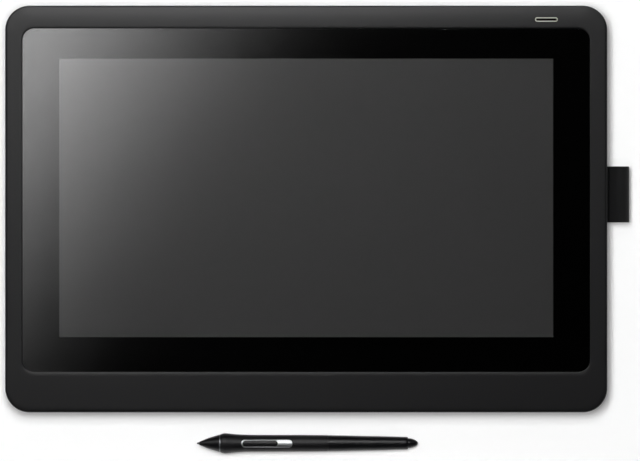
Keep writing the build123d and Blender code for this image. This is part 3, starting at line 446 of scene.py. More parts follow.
# %% Screen, circuit boards and amber film
mottle_size, track_pitch, line_pitch = 8.0, 3.0, 0.6
# A Wave texture repeats every 0.314 / scale, so this ratio makes a repeat about two line pitches
wave_ratio = 6.3


def off_screen():
    """The dark polariser of a panel that is off, with a soft mottle."""
    finish, tree, shader, place = new_finish("matt_polariser_film")
    mottle = {"Vector": place, "Scale": 1 / (mottle_size * MM), "Detail": 2.0}
    haze = add_node(tree, "ShaderNodeTexNoise", mottle)
    draw_pattern(tree, shader, haze, "#292929", "#2b2b2b")
    set_fixed(shader, {"Roughness": 0.3, "Specular_IOR_Level": 0.2, **etched_face, "Coat_IOR": 1.57})
    return finish


def circuit_board():
    """Green solder mask over copper tracks, drawn as the cell edges of a Voronoi pattern."""
    finish, tree, shader, place = new_finish("green_solder_mask")
    edges = add_node(
        tree, "ShaderNodeTexVoronoi", {"Vector": place, "Scale": 1 / (track_pitch * MM)},
        feature="DISTANCE_TO_EDGE", distance="EUCLIDEAN",
    ).outputs["Distance"]
    tracks = add_node(tree, "ShaderNodeMapRange", {"Value": edges, "From Min": 0.03, "From Max": 0.09})
    draw_pattern(tree, shader, tracks, "#3b8a52", "#14542c", relief=0.02, invert=True)
    set_fixed(shader, {"Roughness": 0.35})
    return finish


def amber_film():
    """Polyimide film with copper lines along Y. A band and its gap are each a line pitch wide."""
    finish, tree, shader, place = new_finish("amber_polyimide_film")
    lines = add_node(
        tree, "ShaderNodeTexWave", {"Vector": place, "Scale": 1 / (line_pitch * MM) / wave_ratio},
        wave_type="BANDS", bands_direction="X",
    ).outputs["Fac"]
    draw_pattern(tree, shader, lines, "#8a5a16", "#b9842c")
    set_fixed(shader, {"Roughness": 0.3})
    return finish


finishes["panel_glass"] = off_screen()
finishes["circuit_board"] = circuit_board()
finishes["film_amber"] = amber_film()

# %% [markdown]
# The cover glass is etched, so its mirror is soft. Glass lets most light through and mirrors about 4
# percent of it. A clear sheet with so weak a mirror renders with a grain, because only one ray in 25 finds
# the mirror. So the flat face is plainly clear, and the print and the screen film that are bonded to its
# back carry that mirror as a clear coat, which every ray meets. The ground edge is no such sheet: it keeps
# a matt sheen of its own, whose share a Fresnel node gives, and its gloss varies softly over 2.4 mm.

# %% Etched glass
grind_size = 2.4
grind_gloss = (0.36, 0.42)
face_upward = 0.99


def etched_glass():
    """Clear, with a matt sheen on the ground edge, whose share follows the Fresnel law."""
    finish, tree, shader, place = new_finish("etched_cover_glass")
    math = "ShaderNodeMath"
    grain = {"Vector": place, "Scale": 1 / (grind_size * MM), "Detail": 1.0}
    grind = add_node(tree, "ShaderNodeTexNoise", grain)
    span = {"Value": grind, "To Min": grind_gloss[0], "To Max": grind_gloss[1]}
    rough = add_node(tree, "ShaderNodeMapRange", span)
    tree.links.new(rough.outputs[0], shader.inputs["Roughness"])
    set_fixed(shader, {"Base_Color": linear("#ffffff"), "Metallic": 1.0})
    share = add_node(tree, "ShaderNodeFresnel", {"IOR": 1.5})
    inside = add_node(tree, "ShaderNodeNewGeometry").outputs["Backfacing"]
    outside = add_node(tree, math, {0: 1.0, 1: inside}, operation="SUBTRACT")
    outer_share = add_node(tree, math, {0: share, 1: outside}, operation="MULTIPLY")
    facing = add_node(tree, "ShaderNodeTexCoord").outputs["Normal"]
    upward = add_node(tree, "ShaderNodeSeparateXYZ", {0: facing}).outputs["Z"]
    edge = add_node(tree, math, {0: upward, 1: face_upward}, operation="LESS_THAN")
    edge_share = add_node(tree, math, {0: outer_share, 1: edge}, operation="MULTIPLY")
    clear = add_node(tree, "ShaderNodeBsdfTransparent")
    both = add_node(tree, "ShaderNodeMixShader", {0: edge_share, 1: clear, 2: shader})
    tree.links.new(both.outputs[0], tree.nodes["Material Output"].inputs["Surface"])
    return finish


finishes["etched_glass"] = etched_glass()

# %% [markdown]
# The pen loop is nylon webbing: thick warp threads run along the band and thin weft threads cross them. Two
# wave patterns at right angles give the ribs. One reads an attribute that holds how far along the band each
# point lies, so the weave follows the fold. The other reads the piece's own Y, because the band is straight
# that way. The real threads are too fine to show, so they are drawn coarser than they are.

# %% Webbing
thread_pitch, rib_pitch = 0.9, 1.1


def woven_nylon():
    """Black webbing, with waves along the band by the thread pitch and across it by the rib pitch."""
    finish, tree, shader, place = new_finish("woven_black_nylon")
    along = add_node(tree, "ShaderNodeAttribute", attribute_name="along_band").outputs["Fac"]
    across = add_node(tree, "ShaderNodeSeparateXYZ", {0: place}).outputs["Y"]
    math = "ShaderNodeMath"
    waves = []
    for distance, pitch in ((along, thread_pitch), (across, rib_pitch)):
        phase = add_node(tree, math, {0: distance, 1: 2 * pi / (pitch * MM)}, operation="MULTIPLY")
        waves.append(add_node(tree, math, {0: phase}, operation="SINE"))
    weave = add_node(tree, math, {0: waves[0], 1: waves[1]}, operation="MULTIPLY")
    height = add_node(tree, "ShaderNodeMapRange", {"Value": weave, "From Min": -1.0, "From Max": 1.0})
    draw_pattern(tree, shader, height, "#090909", "#19191a", relief=0.15, strength=0.8)
    set_fixed(shader, {"Roughness": 0.75, "Specular_IOR_Level": 0.2, "Sheen_Weight": 0.02})
    return finish


finishes["webbing"] = woven_nylon()
print(len(finishes), "finishes in all")

# %% [markdown]
# ## Carried-over pieces
# Every CAD node takes the finish of its slot in the record.

# %% Finishes on the CAD nodes
slot_of = {part["node"]: part["material_slot"] for part in frame["record"]["subparts"]}
for node_name, node in nodes.items():
    node.data.materials.clear()
    node.data.materials.append(finishes[slot_of[node_name]])
print(len(slot_of), "nodes have their finish")

# %% [markdown]
# ## Shapes from rounded outlines
# The bezel, the glass and the feet are all rounded rectangles, stacked from one height to the next. If
# every outline has the same number of points, each point joins the one above it, and a whole moulding is a
# stack of outlines joined by quads. The helpers below make an outline, join a stack, and mark the crisp
# edges.

# %% Outlines and stacks
corner_steps = 16
crisp_angle = 0.52


def outline(width, depth, radius, height, middle=(0.0, 0.0)):
    """Points of a rounded rectangle, anticlockwise, at a height. Sizes are in mm round the tablet."""
    points = []
    for quarter, (sx, sy) in enumerate(((1, 1), (-1, 1), (-1, -1), (1, -1))):
        cx = middle[0] + sx * (width / 2 - radius)
        cy = middle[1] + sy * (depth / 2 - radius)
        for step in range(corner_steps + 1):
            angle = (quarter + step / corner_steps) * pi / 2
            x, y = cx + radius * cos(angle), cy + radius * sin(angle)
            points.append(Vector((tablet.x + x * MM, tablet.y + y * MM, height * MM)))
    return points


def rounding(radius, steps):
    """A quarter round, from the side up to the face, as pairs: how far in, and how far below the face."""
    angles = [step / steps * pi / 2 for step in range(steps + 1)]
    return [(radius * (1 - cos(angle)), radius * (1 - sin(angle))) for angle in angles]


def stack(name, rows, ring=False, sharp=crisp_angle):
    """Join outlines from the lowest up. A ring joins the last to the first, a block gets both its ends."""
    shape = bmesh.new()
    loops = [[shape.verts.new(point) for point in row] for row in rows]
    pairs = list(zip(loops, loops[1:])) + ([(loops[-1], loops[0])] if ring else [])
    for lower, upper in pairs:
        for i in range(len(lower)):
            j = (i + 1) % len(lower)
            shape.faces.new((lower[i], lower[j], upper[j], upper[i]))
    if not ring:
        shape.faces.new(list(reversed(loops[0])))
        shape.faces.new(loops[-1])
    return finished_mesh(name, shape, sharp)


def finished_mesh(name, shape, sharp=crisp_angle):
    """Turn a bmesh into an object with smooth faces and crisp edges, its normals pointing outwards."""
    bmesh.ops.recalc_face_normals(shape, faces=shape.faces)
    mesh = bpy.data.meshes.new(name)
    shape.to_mesh(mesh)
    shape.free()
    mesh.shade_smooth()
    mesh.set_sharp_from_angle(angle=sharp)
    return scene_object(name, mesh)


def place_piece(piece, slot, body, *replaced):
    """Give a piece its finish and its body, and let it stand for CAD nodes."""
    piece.data.materials.clear()
    piece.data.materials.append(finishes[slot])
    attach(piece, body)
    if replaced:
        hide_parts(*replaced)
    print(piece.name, len(piece.data.polygons), "faces on", body)
    return piece

# %% [markdown]
# ## Bezel
# The front of the tablet is one moulding. Its face is flat on three sides. Along the far side it slopes
# down a little before it rounds over, which is why the softbox lights that strip most. Its inner edge drops
# to the ledge that the glass is bonded to. It is a ring of outlines: up the side, over the rounded edge,
# across the face, down to the ledge and back underneath.

# %% Bezel
body_width = (bezel_high.x - bezel_low.x) / MM
body_depth = (bezel_high.y - bezel_low.y) / MM
body_top = bezel_high.z / MM
parting_level = bezel_low.z / MM
parting_chamfer = 0.35
body_corner = 17.0
edge_round = 1.5
lip_round = 0.45
far_slope = 0.55
side_slope = 0.04
wall = 2.0
seat_gap = 0.6
glass_width = (glass_high.x - glass_low.x) / MM
glass_depth = (glass_high.y - glass_low.y) / MM
glass_corner = 7.7
tape_gap = 0.2
seat_y = (glass_middle.y - tablet.y) / MM
seat_width, seat_depth = glass_width + 2 * seat_gap, glass_depth + 2 * seat_gap
seat_corner = glass_corner + seat_gap
least_corner = 3.0
ledge_level = glass_low.z / MM - tape_gap
ledge_width = 12.75
ledge_thickness = 1.6
round_steps, face_steps, lip_steps = 8, 10, 4


def inset_outline(inset, height):
    """The body's outline, drawn in by an inset."""
    return outline(body_width - 2 * inset, body_depth - 2 * inset, body_corner - inset, height)


def seat_outline(inset, height):
    """The outline of the opening for the glass, drawn in by an inset."""
    corner = max(seat_corner - inset, least_corner)
    return outline(seat_width - 2 * inset, seat_depth - 2 * inset, corner, height, (0, seat_y))


def slope_at(point):
    """How far the rim at a point lies below the face: most along the far side, fading in the corners."""
    share = ((point.y - tablet.y) / MM - (body_depth / 2 - body_corner)) / (body_corner - edge_round)
    share = min(max(share, 0.0), 1.0)
    return side_slope + (far_slope - side_slope) * share * share * (3 - 2 * share)


def bezel_rows():
    """Outlines of the bezel's section, in order round it."""
    rows = [inset_outline(parting_chamfer, parting_level)]
    rows.append(inset_outline(0.0, parting_level + parting_chamfer))
    slopes = [slope_at(point) for point in inset_outline(edge_round, 0.0)]
    for inset, drop in rounding(edge_round, round_steps):
        row = inset_outline(inset, body_top - drop)
        rows.append([point - Vector((0, 0, slope * MM)) for point, slope in zip(row, slopes)])
    start, end = rows[-1], seat_outline(-lip_round, body_top)
    for step in range(1, face_steps + 1):
        share = step / face_steps
        rows.append([
            Vector((*a.xy.lerp(b.xy, share), (body_top - slope * (1 - share) ** 3) * MM))
            for a, b, slope in zip(start, end, slopes)
        ])
    for drop, outset in rounding(lip_round, lip_steps)[1:]:
        rows.append(seat_outline(-outset, body_top - drop))
    rows.append(seat_outline(0.0, ledge_level))
    rows.append(seat_outline(ledge_width, ledge_level))
    rows.append(seat_outline(ledge_width, ledge_level - ledge_thickness))
    rows.append(inset_outline(wall, ledge_level - ledge_thickness))
    rows.append(inset_outline(wall, parting_level))
    return rows


bezel = stack("moulded_bezel", bezel_rows(), ring=True)

# %% [markdown]
# The power button comes up through a long round-ended hole. A boolean with a cutter of that outline makes
# the hole in the face. A pill is a rounded rectangle whose corner radius is half its width, so the same
# outline function draws it.

# %% Hole for the power button
ring_low, ring_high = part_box("power_ring")
button_x = ((ring_low.x + ring_high.x) / 2 - tablet.x) / MM
button_y = ((ring_low.y + ring_high.y) / 2 - tablet.y) / MM
ring_flange_x, ring_flange_y = 3.0, 2.2
ring_length = (ring_high.x - ring_low.x) / MM - ring_flange_x
ring_width = (ring_high.y - ring_low.y) / MM - ring_flange_y
ring_play = 0.1
pill_gap = 0.001
cut_from, cut_to = body_top - 6.0, body_top + 2.0


def pill(length, width, height, middle):
    """Points of a round-ended slot. A tiny gap keeps the points of its corners apart."""
    return outline(length, width, width / 2 - pill_gap, height, middle)


def baked_mesh(piece):
    """The mesh that a piece has once its modifiers have worked."""
    return bpy.data.meshes.new_from_object(piece.evaluated_get(bpy.context.evaluated_depsgraph_get()))


def settle(piece):
    """Turn a piece with its modifiers into a plain mesh."""
    mesh = baked_mesh(piece)
    piece.modifiers.clear()
    piece.data = mesh


def cut_out(piece, cutter):
    """Take the cutter's shape out of a piece."""
    cut = piece.modifiers.new("cut", "BOOLEAN")
    cut.object = cutter
    cut.solver = "EXACT"
    settle(piece)
    piece.data.set_sharp_from_angle(angle=crisp_angle)
    bpy.data.objects.remove(cutter)


hole_length, hole_width = ring_length + ring_play, ring_width + ring_play
hole_rows = [pill(hole_length, hole_width, height, (button_x, button_y)) for height in (cut_from, cut_to)]
cut_out(bezel, stack("cutter", hole_rows))
place_piece(bezel, "bezel_plastic", "display", "front_bezel")

# %% [markdown]
# The gap round the glass looks down on the ledge that the glass is bonded to. The shade in that gap is painted:
# the faces of the ledge get the black print as a second finish, so the gap shows as a dark line round the glass.

# %% Painted shade on the ledge
ledge_upward, ledge_play = 0.9, 0.1
# Painted shade: the upward faces of the ledge take the black print finish, so the gap round the glass stays dark
bezel.data.materials.append(finishes["border_black"])
shade_painted = [
    face for face in bezel.data.polygons
    if face.normal.z > ledge_upward and abs(face.center.z - ledge_level * MM) < ledge_play * MM
]
for face in shade_painted:
    face.material_index = 1
print(len(shade_painted), "faces of the ledge are taped")

# %% [markdown]
# A thin frosted light pipe lines the hole, and the button's cap lies inside it, a touch lower. Both are
# pills: the pipe is a ring of outlines with a softly rounded rim, and the cap is a block with rounded
# shoulders. The cap is polished, so it looks blacker than the grained face round it.

# %% Light pipe and button cap
pipe_wall = 0.65
pipe_foot = bezel_high.z / MM - 3.0
rim_steps = 8
rim_flatness = 0.5
cap_gap = 0.1
cap_recess = 0.1
cap_shoulder = 0.3
shoulder_steps = 5


def pill_row(inset, height):
    """The pipe's outline drawn in by an inset, at a height."""
    return pill(ring_length - 2 * inset, ring_width - 2 * inset, height, (button_x, button_y))


def pipe_rows():
    """Up the outside, over the rounded rim and down the inside."""
    rim = pipe_wall / 2
    rows = [pill_row(0.0, pipe_foot)]
    for step in range(rim_steps + 1):
        angle = step / rim_steps * pi
        rows.append(pill_row(rim * (1 - cos(angle)), body_top - rim * (1 - sin(angle)) * rim_flatness))
    return rows + [pill_row(pipe_wall, pipe_foot)]


def cap_rows():
    """Straight up, then over a rounded shoulder to the flat top."""
    edge, top = pipe_wall + cap_gap, body_top - cap_recess
    shoulder = [pill_row(edge + inset, top - drop) for inset, drop in rounding(cap_shoulder, shoulder_steps)]
    return [pill_row(edge, pipe_foot)] + shoulder


place_piece(stack("frosted_light_pipe", pipe_rows(), ring=True), "light_ring", "display", "power_ring")
cap = place_piece(stack("polished_button_cap", cap_rows()), "bezel_plastic", "power_button", "power_button")
cap.data.materials[0] = grained(
    "polished_black_abs", "#070708", "#0a0a0b", 0.16, 0.5, 0.001, 0.02, IOR=1.53, Specular_IOR_Level=0.35
)

# %% [markdown]
# ## Cover glass
# One sheet of glass with a ground, rounded edge. The wide flat faces get a close row of points inside their
# rim, so that the smooth shading of the edge doesn't reach into them.

# %% Cover glass
edge_radius, edge_steps = 0.12, 6
foot_chamfer, foot_row, face_row = 0.1, 0.3, 0.2
glass_crisp_angle = 1.0
glass_top, glass_foot = glass_high.z / MM, glass_low.z / MM


def glass_outline(inset, height):
    """The glass outline, drawn in by an inset."""
    width, depth = glass_width - 2 * inset, glass_depth - 2 * inset
    return outline(width, depth, glass_corner - inset, height, (0, seat_y))


def glass_rows():
    """Outlines of the glass, from its underside over the rounded edge to its face."""
    rows = [glass_outline(foot_row, glass_foot), glass_outline(foot_chamfer, glass_foot)]
    rows.append(glass_outline(0.0, glass_foot + foot_chamfer))
    rows += [glass_outline(inset, glass_top - drop) for inset, drop in rounding(edge_radius, edge_steps)]
    return rows + [glass_outline(edge_radius + face_row, glass_top)]


glass = stack("ground_edge_glass", glass_rows(), sharp=glass_crisp_angle)
place_piece(glass, "etched_glass", "display", "cover_glass")

# %% [markdown]
# ## Pen loop
# The loop is one band of webbing. Its two ends lie on each other in the anchor, and in front of it the band
# opens into a round nose that the pen slides through. A band that follows a path is a job for Geometry
# Nodes: the tree sweeps a rounded section along the path. It also stores how far along the band each point
# lies, and the weave reads that, so the threads follow the fold.

# %% The path of the band
loop_low, loop_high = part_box("pen_loop")
loop_width = (loop_high.y - loop_low.y) / MM
loop_end = loop_high.x / MM
loop_level = (loop_high.z + loop_low.z) / 2 / MM
nose_radius = (loop_high.z - loop_low.z) / 2 / MM
webbing = 1.0
edge_share, edge_points = 0.42, 4
neck_reach = 9.0
neck_length, neck_rise = 2.0, 0.2
nose_steps = 28
band_step = 0.8
path_radius = nose_radius - webbing / 2


def band_path():
    """The middle line of the band: out along the upper layer, round the nose, and back along the lower."""
    nose_x = loop_end - nose_radius
    neck_x = loop_low.x / MM + neck_reach
    lean = asin((path_radius - webbing / 2) / (nose_x - neck_x))
    upper = [(loop_low.x / MM, webbing / 2), (neck_x - neck_length, webbing / 2)]
    upper.append((neck_x, webbing / 2 + neck_rise))
    angles = [(pi / 2 + lean) * (1 - 2 * i / nose_steps) for i in range(nose_steps + 1)]
    nose = [(nose_x + path_radius * cos(angle), path_radius * sin(angle)) for angle in angles]
    lower = [(x, -z) for x, z in reversed(upper)]
    y = (loop_low.y + loop_high.y) / 2
    return [Vector((x * MM, y, (loop_level + z) * MM)) for x, z in upper + nose + lower]


route = band_path()

# %% [markdown]
# Three trees are built in this lesson, and all start and end alike, so two helpers do that. A tree ends by
# making its instances real and giving them their finish, because an export drops instances.

# %% A tree that sweeps a band along a path
def new_tree(name, inputs):
    """Start a Geometry Nodes tree with named inputs of given kinds. Returns it with their sockets."""
    tree = bpy.data.node_groups.new(name, "GeometryNodeTree")
    for label, kind in (("Geometry", "Geometry"), *inputs.items(), ("Finish", "Material")):
        tree.interface.new_socket(name=label, in_out="INPUT", socket_type="NodeSocket" + kind)
    tree.interface.new_socket(name="Geometry", in_out="OUTPUT", socket_type="NodeSocketGeometry")
    return tree, add_node(tree, "NodeGroupInput").outputs


def end_tree(tree, geometry, finish):
    """End a tree: make instances real, and give them their finish."""
    real = add_node(tree, "GeometryNodeRealizeInstances", {"Geometry": geometry})
    finished = add_node(tree, "GeometryNodeSetMaterial", {"Geometry": real, "Material": finish})
    add_node(tree, "NodeGroupOutput", {"Geometry": finished})
    return tree


def band_tree():
    """Geometry Nodes: sweep a rounded flat section along a curve, and store the distance along it."""
    tree, given = new_tree("woven_band", {"Width": "Float", "Thickness": "Float", "Step": "Float"})
    even = add_node(
        tree, "GeometryNodeResampleCurve", {"Curve": given["Geometry"], "Length": given["Step"]},
        mode="LENGTH",
    )
    distance = add_node(tree, "GeometryNodeSplineParameter").outputs["Length"]
    marked = add_node(
        tree, "GeometryNodeStoreNamedAttribute", {"Geometry": even, "Name": "along_band", "Value": distance},
        data_type="FLOAT", domain="POINT",
    )
    flat = add_node(
        tree, "GeometryNodeCurvePrimitiveQuadrilateral",
        {"Width": given["Width"], "Height": given["Thickness"]},
    )
    edge = add_node(tree, "ShaderNodeMath", {0: given["Thickness"], 1: edge_share}, operation="MULTIPLY")
    soft = add_node(
        tree, "GeometryNodeFilletCurve", {"Curve": flat, "Radius": edge, "Count": edge_points}, mode="POLY"
    )
    swept = add_node(
        tree, "GeometryNodeCurveToMesh", {"Curve": marked, "Profile Curve": soft, "Fill Caps": True}
    )
    smooth = add_node(tree, "GeometryNodeSetShadeSmooth", {"Geometry": swept})
    return end_tree(tree, smooth, given["Finish"])

# %% Pen loop
def curve_object(name, points):
    """A curve of straight steps through points."""
    data = bpy.data.curves.new(name, "CURVE")
    data.dimensions = "3D"
    line = data.splines.new("POLY")
    line.points.add(len(points) - 1)
    for knot, point in zip(line.points, points):
        knot.co = (*point, 1.0)
    return scene_object(name, data)


def plain_mesh(name, source):
    """Bake what a modifier makes into a new plain object, and remove the one it came from."""
    mesh = baked_mesh(source)
    bpy.data.objects.remove(source)
    return scene_object(name, mesh)


def run_tree(source, tree, values):
    """Put a Geometry Nodes tree on an object, with its inputs set by their identifiers."""
    modifier = source.modifiers.new(tree.name, "NODES")
    modifier.node_group = tree
    for socket in tree.interface.items_tree:
        if socket.in_out == "INPUT" and socket.name in values:
            modifier[socket.identifier] = values[socket.name]


path = curve_object("band_path", route)
band_sizes = {"Width": loop_width * MM, "Thickness": webbing * MM, "Step": band_step * MM}
run_tree(path, band_tree(), {**band_sizes, "Finish": finishes["webbing"]})
band = plain_mesh("folded_webbing_loop", path)
place_piece(band, "webbing", "pen_loop", "pen_loop")

# %% [markdown]
# ## Pen
# Every casing of the pen is turned, so each is a section of (place, radius) pairs swept round the middle
# line of the pen. Places are measured from the nib end. Round swells are smooth curves through a few radii.

# %% The pen's middle line
ring_place = 16.1
sides = 96
nib_joint = next(joint for joint in frame["joints"] if joint["name"] == "nib_press")
pen_along = Vector(nib_joint["axis"]).normalized()
pen_across = Vector((0, 1, 0))
pen_up = pen_along.cross(pen_across)
pen_ring_low, pen_ring_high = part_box("pen_ring")
pen_tip = (pen_ring_low + pen_ring_high) / 2 - pen_along * ring_place * MM


def pen_point(place, across, up):
    """A point of the pen, in millimetres from its tip along it, across it and above its middle line."""
    return pen_tip + (pen_along * place + pen_across * across + pen_up * up) * MM


def turned(name, section, ring=True):
    """A piece turned from the corners (place, radius) of its section."""
    angles = [2 * pi * i / sides for i in range(sides)]
    rows = [[pen_point(place, radius * cos(a), radius * sin(a)) for a in angles] for place, radius in section]
    return stack(name, rows, ring)


def smooth_line(points, steps=6):
    """A smooth line of (place, radius) through points: each step follows a cubic with shared slopes."""
    slopes = []
    for i in range(len(points)):
        before, after = points[max(i - 1, 0)], points[min(i + 1, len(points) - 1)]
        slopes.append((after[1] - before[1]) / (after[0] - before[0]))
    line = []
    for i in range(len(points) - 1):
        (x0, r0), (x1, r1) = points[i], points[i + 1]
        span = x1 - x0
        for step in range(steps):
            t = step / steps
            radius = (
                r0 * (1 + 2 * t) * (1 - t) ** 2 + slopes[i] * span * t * (1 - t) ** 2
                + r1 * t * t * (3 - 2 * t) + slopes[i + 1] * span * t * t * (t - 1)
            )
            line.append((x0 + span * t, radius))
    return line + [points[-1]]


print("pen tip", [round(v / MM, 2) for v in pen_tip])

# %% [markdown]
# The nose is a hard cone with the nib in its mouth, and a thin plated ring parts it from the grip. The grip
# is a soft sleeve that flares just behind the ring, so that fingers stop there, and narrows to a long even
# stretch. The barrel behind it is harder and glossier and tapers to the eraser.

# %% Nose, ring, grip, barrel, eraser and nib
nose_line = smooth_line([(1.9, 1.15), (4.0, 2.02), (8.2, 3.74), (11.0, 4.58), (13.8, 5.44), (15.7, 6.0)])
nose = turned("moulded_nose", nose_line + [(15.7, 2.9), (8.8, 2.9), (7.6, 0.92), (1.9, 0.92)])
place_piece(nose, "barrel_plastic", "pen", "pen_nose")

trim = turned("plated_ring", [(15.7, 6.0), (15.8, 6.1), (16.4, 6.1), (16.5, 6.0), (16.5, 2.9), (15.7, 2.9)])
place_piece(trim, "silver_trim", "pen", "pen_ring")
trim.data.materials[0] = brushed("dull_chrome_plating", "#7b7d80", "#939598", 0.45, 0.15, 3.0, 0.001)

grip_line = smooth_line(
    [(16.5, 6.22), (18.0, 6.78), (19.7, 7.1), (21.6, 6.97), (26.4, 6.46), (34.0, 6.0), (48.0, 5.86),
     (75.0, 5.78), (92.2, 5.64)]
)
grip = turned("rubber_grip", grip_line + [(92.2, 4.25), (16.5, 4.25)])

barrel_line = smooth_line(
    [(92.3, 5.6), (104.0, 5.42), (116.0, 5.12), (129.0, 4.9), (139.2, 4.62), (147.9, 4.36)]
)
barrel_bore = [(148.5, 4.1), (148.7, 3.8), (148.7, 3.45), (112.0, 4.0), (97.2, 4.25), (92.3, 4.25)]
place_piece(turned("satin_barrel", barrel_line + barrel_bore), "barrel_plastic", "pen", "pen_barrel")

nib_line = [(0.01, 0.1), (0.08, 0.27), (0.22, 0.42), (0.5, 0.6), (0.9, 0.72), (1.6, 0.8), (17.0, 0.8)]
place_piece(turned("rounded_nib", nib_line, ring=False), "nib_grey", "pen_nib", "pen_nib")

eraser_stem = [(141.4, 1.2), (147.6, 1.2), (147.6, 3.2)]
eraser_line = smooth_line([(147.9, 3.38), (150.2, 3.36), (152.2, 2.84), (154.4, 1.85), (155.3, 0.95)])
eraser = turned("domed_eraser", eraser_stem + eraser_line + [(155.55, 0.4), (155.6, 0.1)], ring=False)
place_piece(eraser, slot_of["pen_eraser"], "pen_eraser", "pen_eraser")

# %% [markdown]
# The side switch is a rocker in a plated frame, and the frame is let into the top of the grip. So the grip
# gets a pocket: a boolean takes out a block with the frame's round-ended outline, standing square to the
# pen.

# %% Pocket for the switch frame
frame_middle, frame_length, frame_width = 49.2, 36.4, 5.7
pocket_from, pocket_to = 3.0, 9.0


def pill_places(length, width, middle, arc_steps=16, side_steps=28):
    """Round-ended outline over the pen as (place, across) pairs, with points along its straight sides too."""
    half = (length - width) / 2
    places = []
    for end in (1, -1):
        for step in range(arc_steps + 1):
            angle = (step / arc_steps - 0.5) * pi + (0 if end > 0 else pi)
            places.append((middle + end * half + width / 2 * cos(angle), width / 2 * sin(angle)))
        for step in range(1, side_steps):
            places.append((middle + end * half * (1 - 2 * step / side_steps), end * width / 2))
    return places


def flat_row(places, up):
    """Points of an outline at one height above the pen's middle line."""
    return [pen_point(place, across, up) for place, across in places]


pocket = pill_places(frame_length, frame_width, frame_middle)
cut_out(grip, stack("cutter", [flat_row(pocket, up) for up in (pocket_from, pocket_to)]))
place_piece(grip, "grip_rubber", "pen", "pen_grip")

# %% [markdown]
# The plated frame follows the roundness of the pen, so each of its outlines is laid on a cylinder. Its rim
# is rounded, it runs out to a solid end, and a slot in it holds the rocker. The rocker is crowned the same
# way, with a shallow dip in its middle where the fingertip rests.

# %% Switch frame and rocker
frame_radius = 6.02
frame_floor = 4.6
frame_play = 0.05
frame_rim = 0.3
slot_rim = 0.15
rocker_middle, rocker_length, rocker_width = 44.5, 24.3, 3.8
slot_length, slot_width = 24.8, 4.2
rocker_radius = 6.4
rocker_floor = 3.8
rocker_shoulder = 0.3
rocker_dip = 0.15
dip_reach = 7.0
frame_steps, plate_steps, rocker_steps = 4, 10, 4
crown_insets = (0.6, 0.9, 1.2, 1.5, 1.8, 1.88)


def round_row(places, radius, drop=0.0):
    """Points of an outline laid on a cylinder round the pen's middle line, sunk by a drop."""
    return [pen_point(place, across, (radius**2 - across**2) ** 0.5 - drop) for place, across in places]


def frame_outline(inset):
    """The outside of the frame, drawn in by its play and an inset."""
    shrink = 2 * (frame_play + inset)
    return pill_places(frame_length - shrink, frame_width - shrink, frame_middle)


def slot_outline(outset):
    """The slot for the rocker, widened by an outset."""
    return pill_places(slot_length + 2 * outset, slot_width + 2 * outset, rocker_middle)


def frame_rows():
    """Up the outside, over the rounded rim, across the plate, and down into the slot."""
    rows = [flat_row(frame_outline(0.0), frame_floor)]
    for inset, drop in rounding(frame_rim, frame_steps):
        rows.append(round_row(frame_outline(inset), frame_radius, drop))
    pairs = list(zip(frame_outline(frame_rim), slot_outline(slot_rim)))
    for step in range(1, plate_steps + 1):
        share = step / plate_steps
        places = [(a[0] + (b[0] - a[0]) * share, a[1] + (b[1] - a[1]) * share) for a, b in pairs]
        rows.append(round_row(places, frame_radius))
    rows.append(round_row(slot_outline(0.0), frame_radius, slot_rim))
    rows.append(flat_row(slot_outline(0.0), frame_floor))
    return rows


def rocker_rows():
    """Up the side, over the shoulder, and in towards the middle line of the crown."""
    rows = [flat_row(pill_places(rocker_length, rocker_width, rocker_middle), rocker_floor)]
    insets = rounding(rocker_shoulder, rocker_steps) + [(inset, 0.0) for inset in crown_insets]
    for inset, sunk in insets:
        row = []
        for place, across in pill_places(rocker_length - 2 * inset, rocker_width - 2 * inset, rocker_middle):
            away = min(abs(place - rocker_middle) / dip_reach, 1.0)
            dip = rocker_dip * (1 + cos(pi * away)) / 2
            row.append(pen_point(place, across, (rocker_radius**2 - across**2) ** 0.5 - sunk - dip))
        rows.append(row)
    return rows


frame_piece = stack("plated_switch_frame", frame_rows(), ring=True)
place_piece(frame_piece, "silver_trim", "pen", "pen_switch_frame")
rocker = stack("crowned_rocker", rocker_rows())
place_piece(rocker, slot_of["pen_switch"], "pen_switch", "pen_switch")
print("pen casings made")

# %% [markdown]
# ## Screws
# Ten black screws hold the back on. They are all alike, so a Geometry Nodes tree builds one and sets it on
# every point of a small mesh. Its head is a disc met by a ball, which gives a domed face, two crossed bars
# are taken out of it for the driver, and a shank is joined on. Each screw stops at its own angle when it is
# tightened, so each is turned by a random angle with a fixed seed.

# %% A tree that builds screws
screw_low, screw_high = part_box("cover_screws")
head_height = 1.7
screw_seat = screw_low.z / MM + head_height
screw_columns = [(190.0, (-120.0, 5.0, 118.0)), (70.0, (-124.0, 121.0))]
screw_sizes = {
    "Head radius": 2.4 * MM,
    "Head height": head_height * MM,
    "Shank radius": 1.25 * MM,
    "Shank length": screw_high.z - screw_seat * MM,
    "Recess length": 2.9 * MM,
    "Recess width": 0.7 * MM,
    "Recess depth": 1.0 * MM,
}
head_sides, shank_sides, ball_rings = 40, 24, 64
ball_ratio = 2.4
turn_seed = 7


